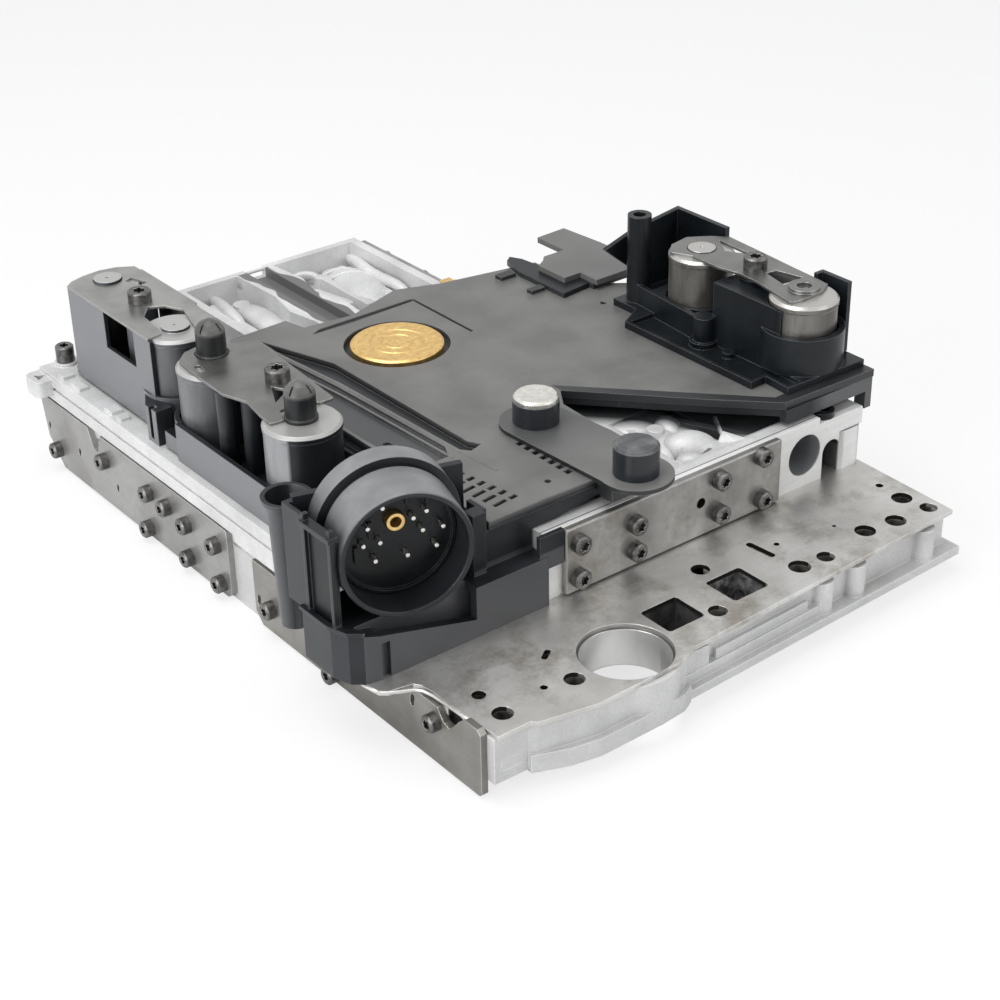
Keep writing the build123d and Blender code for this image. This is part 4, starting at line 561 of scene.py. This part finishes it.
# Wedge shaped rib between the channels and the front wall, drawn by its four upper corners
wedge_foot = 52.0
wedge_top = {(-1, -1): (110.0, 51.0, 60.2), (1, -1): (117.4, 51.0, 60.9),
             (-1, 1): (104.6, 61.5, 58.6), (1, 1): (108.4, 62.4, 64.2)}
wedge_bm = bmesh.new()
bmesh.ops.create_cube(wedge_bm, size=2.0)
for vert in wedge_bm.verts:
    corner_x, corner_y, corner_z = wedge_top[(round(vert.co.x), round(vert.co.y))]
    vert.co = from_mm(corner_x, corner_y, corner_z if vert.co.z > 0 else wedge_foot)
bmesh.ops.bevel(wedge_bm, geom=list(wedge_bm.edges), offset=0.0008, segments=3, profile=0.5, affect="EDGES")
bmesh.ops.recalc_face_normals(wedge_bm, faces=wedge_bm.faces)
wedge = new_piece("front_wedge", wedge_bm)
wedge.data.materials.append(upper_casting_skin)
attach(wedge, "valve_block")

# Five thin ribs fan out over the right tray dome and drop away from its crest
dome_crest = 310
for number, y in enumerate((318, 310, 302, 294, 286)):
    drop = abs(dome_crest - y) * 0.12
    fan_rib = ((77, y + 3, 60.4 - drop, 1.0, 1.2), (86, y, 63.4 - drop, 1.1, 1.3),
               (93, y - 4, 60.8 - drop, 1.0, 1.2))
    swept_ridge(f"tray_fan_{number + 1}", fan_rib, upper_casting_skin, 8)


# Cover plates: ground steel sheet, screwed over the valve bores on the front, the left and the rear.
# They are greyer than the separator plate and carry cloudy finger marks.
drain_hole = (0.0801, 0.0186)


def painted_shade_in_drain_hole(tree, place, colour):
    # Painted shade in the drain hole
    x, _, z = axes_of(tree, place)
    hole = round_patch(tree, x, z, drain_hole, radius=0.00241, soft=0.00004)
    return blend_colours(tree, hole, colour, grey(0.03))


front_cover_steel = ground_steel_finish(
    "front_cover_steel", (0.25, 0.247, 0.24), (0.43, 0.427, 0.415), line_stretch=(5, 5, 1), stain=0.65,
    stain_colour=(0.18, 0.16, 0.135), cloud_size=30, metal=0.85, lined=0.05, touch_up=painted_shade_in_drain_hole
)
dress("front_cover_plate", front_cover_steel)
dress("rear_cover_plate", front_cover_steel)
side_cover_steel = ground_steel_finish(
    "side_cover_steel", (0.29, 0.288, 0.283), (0.41, 0.408, 0.40), line_stretch=(5, 1, 5), stain=0.45,
    stain_colour=(0.20, 0.185, 0.165), cloud_size=26, metal=0.7, lined=0.07
)
dress("left_cover_plate", side_cover_steel)
low_cover_steel = ground_steel_finish(
    "low_cover_steel", (0.21, 0.203, 0.19), (0.31, 0.30, 0.28), line_stretch=(5, 1, 5), stain=0.5,
    stain_colour=(0.16, 0.145, 0.12), cloud_size=22, metal=0.7, lined=0.07
)
dress("lower_left_cover_plate", low_cover_steel)


# Cap screws: rolled and blackened steel, oily, worn and given a painted highlight on rim and socket edges.
# The same finish in other tones serves the other turned and stamped metal.
def screw_steel_finish(name, dark, light, worn_edge_highlight, roughness, mottle_size=420):
    material, tree, shader, place = new_finish(name)
    mottle = grain(tree, place, mottle_size, 4)
    colour = tones(tree, mottle, 0.35, dark, 0.66, light)
    rounded = rounded_edges(tree, 0.0005)
    # Edges lighter as wear and as a painted highlight
    colour = blend_colours(tree, edge_share(tree, rounded, 0.70), colour, worn_edge_highlight)
    tree.links.new(colour, shader.inputs["Base Color"])
    shader.inputs["Metallic"].default_value = 0.9
    dullness = spread(tree, mottle, 0.3, 0.7, roughness - 0.04, roughness + 0.08)
    tree.links.new(dullness, shader.inputs["Roughness"])
    tree.links.new(relief(tree, mottle, 0.0001, 0.3, rounded), shader.inputs["Normal"])
    return material


screw_steel = screw_steel_finish("screw_steel", grey(0.09), (0.20, 0.195, 0.19), (0.50, 0.49, 0.47), 0.33)
for node in ("front_cover_screws", "left_cover_screws", "lower_left_cover_screws", "rear_cover_screws",
             "housing_bolt", "retainer_screws"):
    dress(node, screw_steel)


# Spool valves and springs: anodised turned spools and drawn wire coils, hidden behind the covers.
# They share the turned look of the visible steel.
spool_alloy = screw_steel_finish("spool_alloy", (0.16, 0.165, 0.17), (0.26, 0.265, 0.27), grey(0.60), 0.28)
spring_wire = screw_steel_finish("spring_wire", (0.26, 0.26, 0.25), (0.40, 0.40, 0.39),
                                 (0.60, 0.60, 0.58), 0.30)
for side in ("front", "side"):
    for number in (1, 2, 3, 4):
        dress(f"{side}_valve_{number}", spool_alloy)
        dress(f"{side}_valve_spring_{number}", spring_wire)


# Conductor frame: injection moulded glass filled nylon, black, with painted light on its outer left walls.
# The skin has a fine spark grain; its edges are lighter, as wear and as a painted highlight.
def moulding_finish(name, dark, light, worn_edge_highlight, roughness, edge_highlight_share=0.7, painted_left_light=None, touch_up=None,
                    grain_depth=0.0001, gloss=0.5):
    material, tree, shader, place = new_finish(name)
    cloud = grain(tree, place, 40, 5)
    colour = tones(tree, cloud, 0.36, dark, 0.66, light)
    if painted_left_light:
        # Painted light on the faces that look left
        face_x, _, _ = facing(tree)
        colour = blend_colours(tree, rising(tree, face_x, -0.5, -0.97), colour, painted_left_light)
    if touch_up:
        colour = touch_up(tree, place, colour)
    rounded = rounded_edges(tree, 0.0006)
    # Edges lighter as wear and as a painted highlight
    colour = blend_colours(tree, overlap(tree, edge_share(tree, rounded), edge_highlight_share), colour, worn_edge_highlight)
    tree.links.new(colour, shader.inputs["Base Color"])
    dullness = spread(tree, cloud, 0.3, 0.7, roughness - 0.05, roughness + 0.07)
    tree.links.new(dullness, shader.inputs["Roughness"])
    spark = relief(tree, grain(tree, place, 1600, 2), grain_depth, 0.35, rounded)
    tree.links.new(spark, shader.inputs["Normal"])
    shader.inputs["Specular IOR Level"].default_value = gloss
    return material


guide_tube = (-0.0862, 0.0992)


def painted_light_on_frame_walls(tree, place, colour):
    x, y, z = axes_of(tree, place)
    face_x, face_y, _ = facing(tree)
    # Painted light on the outer left walls: pale by the solenoid pocket and a little darker low down
    low_down = falling(tree, z, 0.0200, 0.0230)
    skin = blend_colours(tree, low_down, (0.175, 0.180, 0.190), (0.120, 0.124, 0.132))
    # Less painted light beside the connector, a painted shadow on the panel there, grey light on the guide
    # tube
    skin = blend_colours(tree, falling(tree, y, 0.1045, 0.1055), skin, (0.030, 0.033, 0.037))
    panel = overlap(tree, between(tree, x, -0.0958, -0.0940), between(tree, y, 0.0560, 0.0700),
                    rising(tree, z, 0.0060, 0.0065))
    skin = blend_colours(tree, panel, skin, (0.004, 0.005, 0.006))
    tube = round_patch(tree, x, y, guide_tube, radius=0.01049, soft=0.0001)
    skin = blend_colours(tree, tube, skin, (0.080, 0.084, 0.090))
    # Only a little painted light on the inner walls of the pocket
    inner = overlap(tree, rising(tree, x, -0.0664, -0.0656), rising(tree, y, 0.1045, 0.1055))
    skin = blend_colours(tree, inner, skin, (0.035, 0.038, 0.042))
    # The block below the connector and the near right corner get grey painted light where they face the
    # front
    ahead = rising(tree, face_y, -0.80, -0.97)
    block = overlap(tree, ahead, falling(tree, x, 0.0060, 0.0066), falling(tree, z, 0.0260, 0.0270))
    colour = blend_colours(tree, block, colour, (0.070, 0.072, 0.077))
    corner = overlap(tree, ahead, rising(tree, x, 0.1500, 0.1600))
    colour = blend_colours(tree, corner, colour, (0.105, 0.107, 0.111))
    return blend_colours(tree, rising(tree, face_x, -0.55, -0.97), colour, skin)


frame_moulding = moulding_finish("frame_moulding", (0.008, 0.010, 0.012), (0.018, 0.021, 0.024),
                                 (0.15, 0.16, 0.17), 0.34, edge_highlight_share=0.6,
                                 touch_up=painted_light_on_frame_walls, gloss=0.28)
dress("conductor_frame", frame_moulding)


# Conductor lid: a satin grey moulding that snaps on the frame; its clips are black.
# Its grooves are painted black as shade, and the shallow trough beside the wedge is painted darker as shade.
lid_top = 0.0445


def lid_grooves(tree, place, colour):
    x, y, z = axes_of(tree, place)
    # Painted shade in the shallow trough
    trough = between(tree, z, lid_top - 0.0017, lid_top - 0.0008)
    colour = blend_colours(tree, trough, colour, (0.055, 0.057, 0.06))
    # Painted shade: all that lies deeper than the trough turns black
    deep = falling(tree, z, lid_top - 0.0020, lid_top - 0.0016)
    clips = rising(tree, z, lid_top + 0.0004, lid_top + 0.0008)
    # A black border runs along the slanting front edge and along the near right edge
    slant = distance_along(tree, x, y, lid_edge_start, lid_edge_way)
    border = overlap(tree, falling(tree, slant, 0.0043, 0.0047), rising(tree, x, 0.0690, 0.0700))
    near_right = overlap(tree, falling(tree, y, 0.0578, 0.0582), rising(tree, x, 0.1196, 0.1200))
    dark = combine(tree, "MAXIMUM", deep, clips, border, near_right)
    return blend_colours(tree, dark, colour, (0.018, 0.019, 0.021))


lid_moulding = moulding_finish("lid_moulding", (0.118, 0.117, 0.114), (0.172, 0.171, 0.166),
                               (0.30, 0.30, 0.29), 0.42, touch_up=lid_grooves)
dress("conductor_lid", lid_moulding)


# Sealing disc and contact tab: stamped sheet, gold coloured, with turned rings on the disc.
# The bush in the middle of the connector has the same colour.
gold_metal = screw_steel_finish("gold_metal", (0.70, 0.45, 0.16), (0.86, 0.60, 0.24),
                                (0.97, 0.80, 0.46), 0.36)
for node in ("sealing_disc", "contact_tab", "connector_bush"):
    dress(node, gold_metal)


# Connector: a round black socket with an inner face of contacts, moulded in a glossier grade.
# The pins are plated bright.
def painted_top_light(tree, place, colour):
    # Painted light turns what looks up grey, down to the middle of the barrel
    _, _, z = axes_of(tree, place)
    _, _, face_z = facing(tree)
    top_light_tones = tones(tree, grain(tree, place, 60, 5), 0.35, (0.185, 0.190, 0.193), 0.66, (0.255, 0.260, 0.263))
    share = overlap(tree, rising(tree, face_z, 0.12, 0.75), rising(tree, z, 0.0510, 0.0530))
    return blend_colours(tree, share, colour, top_light_tones)


shell_moulding = moulding_finish("shell_moulding", (0.012, 0.014, 0.016), (0.020, 0.023, 0.026),
                                 (0.16, 0.17, 0.18), 0.30, edge_highlight_share=0.6, touch_up=painted_top_light,
                                 grain_depth=0.00005, gloss=0.3)
dress("connector_shell", shell_moulding)
insert_moulding = moulding_finish("insert_moulding", (0.006, 0.007, 0.008), (0.011, 0.012, 0.014),
                                  (0.08, 0.085, 0.09), 0.24, edge_highlight_share=0.5, grain_depth=0.00004, gloss=0.25)
dress("connector_insert", insert_moulding)
bright_metal = screw_steel_finish("bright_metal", (0.66, 0.65, 0.60), (0.80, 0.79, 0.74),
                                  (0.92, 0.92, 0.90), 0.26)
dress("connector_pins", bright_metal)


# Sensor arm: a moulded satin bar with two round black sensor heads, one with a bright steel cap.
# The bar darkens towards its rear head, its sides are painted shade black and the heads have a painted top
# sheen.
def arm_shade(tree, place, colour):
    _, y, _ = axes_of(tree, place)
    _, _, face_z = facing(tree)
    colour = blend_colours(tree, spread(tree, y, 0.055, 0.095, 0.0, 0.75), colour, (0.05, 0.052, 0.054))
    # Painted shade: the sides of the bar are black
    return blend_colours(tree, rising(tree, face_z, 0.60, 0.40), colour, (0.020, 0.021, 0.023))


def painted_top_sheen(tree, place, colour):
    _, _, face_z = facing(tree)
    # Painted sheen on the tops of the heads
    sheen_tones = tones(tree, grain(tree, place, 120, 4), 0.38, (0.060, 0.064, 0.066), 0.66, (0.150, 0.152, 0.152))
    return blend_colours(tree, rising(tree, face_z, 0.30, 0.60), colour, sheen_tones)


arm_moulding = moulding_finish("arm_moulding", (0.150, 0.149, 0.145), (0.190, 0.189, 0.184),
                               (0.30, 0.30, 0.29), 0.40, touch_up=arm_shade)
dress("sensor_arm", arm_moulding)
head_moulding = moulding_finish("head_moulding", (0.018, 0.021, 0.025), (0.030, 0.034, 0.039),
                                (0.34, 0.35, 0.36), 0.28, edge_highlight_share=0.9, touch_up=painted_top_sheen, gloss=0.35)
dress("sensor_heads", head_moulding)
dress("sensor_cap", bright_metal)


# Flat position sensor: a thin grey cover clipped on a black base at the back right.
# The base is moulded in the same grade as the frame.
cover_moulding = moulding_finish("cover_moulding", (0.125, 0.125, 0.122), (0.160, 0.160, 0.156),
                                 (0.28, 0.28, 0.27), 0.42)
dress("position_sensor_cover", cover_moulding)
dress("position_sensor_base", frame_moulding)


# Solenoid carriers: injection moulded holders for the right and the rear cans.
# The right one is black and glossy, the rear one a paler satin grade with painted light on its left wall.
carrier_moulding = moulding_finish("carrier_moulding", (0.007, 0.009, 0.011), (0.015, 0.018, 0.021),
                                   (0.17, 0.18, 0.19), 0.30, gloss=0.28)
dress("right_carrier", carrier_moulding)
grey_moulding = moulding_finish("grey_moulding", (0.014, 0.016, 0.018), (0.026, 0.029, 0.033),
                                (0.20, 0.21, 0.22), 0.36, edge_highlight_share=0.6,
                                painted_left_light=(0.185, 0.19, 0.20), gloss=0.3)
dress("rear_carrier", grey_moulding)


# Solenoids: deep drawn steel cans with a rolled rim, duller than bright plate.
# Each is painted lighter on top. On front_solenoid_2 the side turned to the right and the front is a
# black label band with a sharp edge; on the other cans that side is painted darker as shade.
def can_finish(name, dark, light, band_start, band_soft, band_colour, metal, rough, bright_top):
    material, tree, shader, place = new_finish(name)
    mottle = grain(tree, place, 90, 4, 0.6, (2.4, 2.4, 0.5))
    colour = tones(tree, mottle, 0.34, dark, 0.66, light)
    face_x, face_y, face_z = facing(tree)
    side = combine(tree, "ADD", combine(tree, "MULTIPLY", face_x, 0.787),
                   combine(tree, "MULTIPLY", face_y, -0.617))
    # Black label band on front_solenoid_2, painted shade on the other cans
    band = overlap(tree, rising(tree, side, band_start - band_soft, band_start + band_soft),
                   rising(tree, face_z, 0.25, 0.15))
    colour = blend_colours(tree, band, colour, band_colour)
    # Painted light on the top faces
    colour = blend_colours(tree, rising(tree, face_z, 0.30, 0.60), colour, bright_top)
    rounded = rounded_edges(tree, 0.0006)
    # Painted highlight along the rounded edges and the rolled rim
    colour = blend_colours(tree, edge_share(tree, rounded, 0.70), colour, (0.86, 0.86, 0.85))
    tree.links.new(colour, shader.inputs["Base Color"])
    shader.inputs["Metallic"].default_value = metal
    tree.links.new(spread(tree, mottle, 0.3, 0.7, rough, rough + 0.10), shader.inputs["Roughness"])
    drawn_skin = relief(tree, grain(tree, place, 700, 3), 0.00006, 0.25, rounded)
    tree.links.new(drawn_skin, shader.inputs["Normal"])
    return material


rear_can_steel = can_finish(
    "rear_can_steel", (0.150, 0.156, 0.163), (0.205, 0.211, 0.218), band_start=-0.1, band_soft=0.6,
    band_colour=(0.030, 0.033, 0.037), metal=0.45, rough=0.32, bright_top=(0.44, 0.44, 0.43)
)
front_can_steel = can_finish(
    "front_can_steel", (0.25, 0.257, 0.267), (0.32, 0.327, 0.337), band_start=-0.28, band_soft=0.05,
    band_colour=(0.018, 0.020, 0.023), metal=0.45, rough=0.32, bright_top=(0.42, 0.42, 0.41)
)
right_can_steel = can_finish(
    "right_can_steel", (0.17, 0.165, 0.15), (0.27, 0.262, 0.245), band_start=0.3, band_soft=0.6,
    band_colour=(0.08, 0.078, 0.073), metal=0.7, rough=0.26, bright_top=(0.50, 0.49, 0.47)
)
for node in ("rear_solenoid_1", "rear_solenoid_2", "front_solenoid_1"):
    dress(node, rear_can_steel)
dress("front_solenoid_2", front_can_steel)
for node in ("right_solenoid_1", "right_solenoid_2"):
    dress(node, right_can_steel)


# Retainers: spring steel leaves, stamped and tempered, that hold the cans down.
# The rear one is a little brighter.
leaf_steel = screw_steel_finish("leaf_steel", (0.19, 0.19, 0.185), (0.26, 0.26, 0.25),
                                (0.50, 0.50, 0.48), 0.34, mottle_size=60)
rear_leaf_steel = screw_steel_finish("rear_leaf_steel", (0.30, 0.30, 0.29), (0.40, 0.40, 0.385),
                                     (0.60, 0.60, 0.58), 0.34, mottle_size=60)
dress("front_retainer", leaf_steel)
dress("right_retainer", leaf_steel)
dress("rear_retainer", rear_leaf_steel)


# Plugs and seal: moulded plugs in the front cans and a black ring on the right end of the upper casting.
# The plugs are dusty grey with a darker stem.
def dark_stem(tree, place, colour):
    _, _, z = axes_of(tree, place)
    return blend_colours(tree, falling(tree, z, 0.0745, 0.0760), colour, (0.014, 0.015, 0.016))


plug_moulding = moulding_finish("plug_moulding", (0.080, 0.079, 0.076), (0.150, 0.148, 0.142),
                                (0.24, 0.235, 0.23), 0.36, edge_highlight_share=0.8, touch_up=dark_stem, gloss=0.35)
for node in ("front_solenoid_plug_1", "front_solenoid_plug_2"):
    dress(node, plug_moulding)
dress("end_seal_ring", insert_moulding)
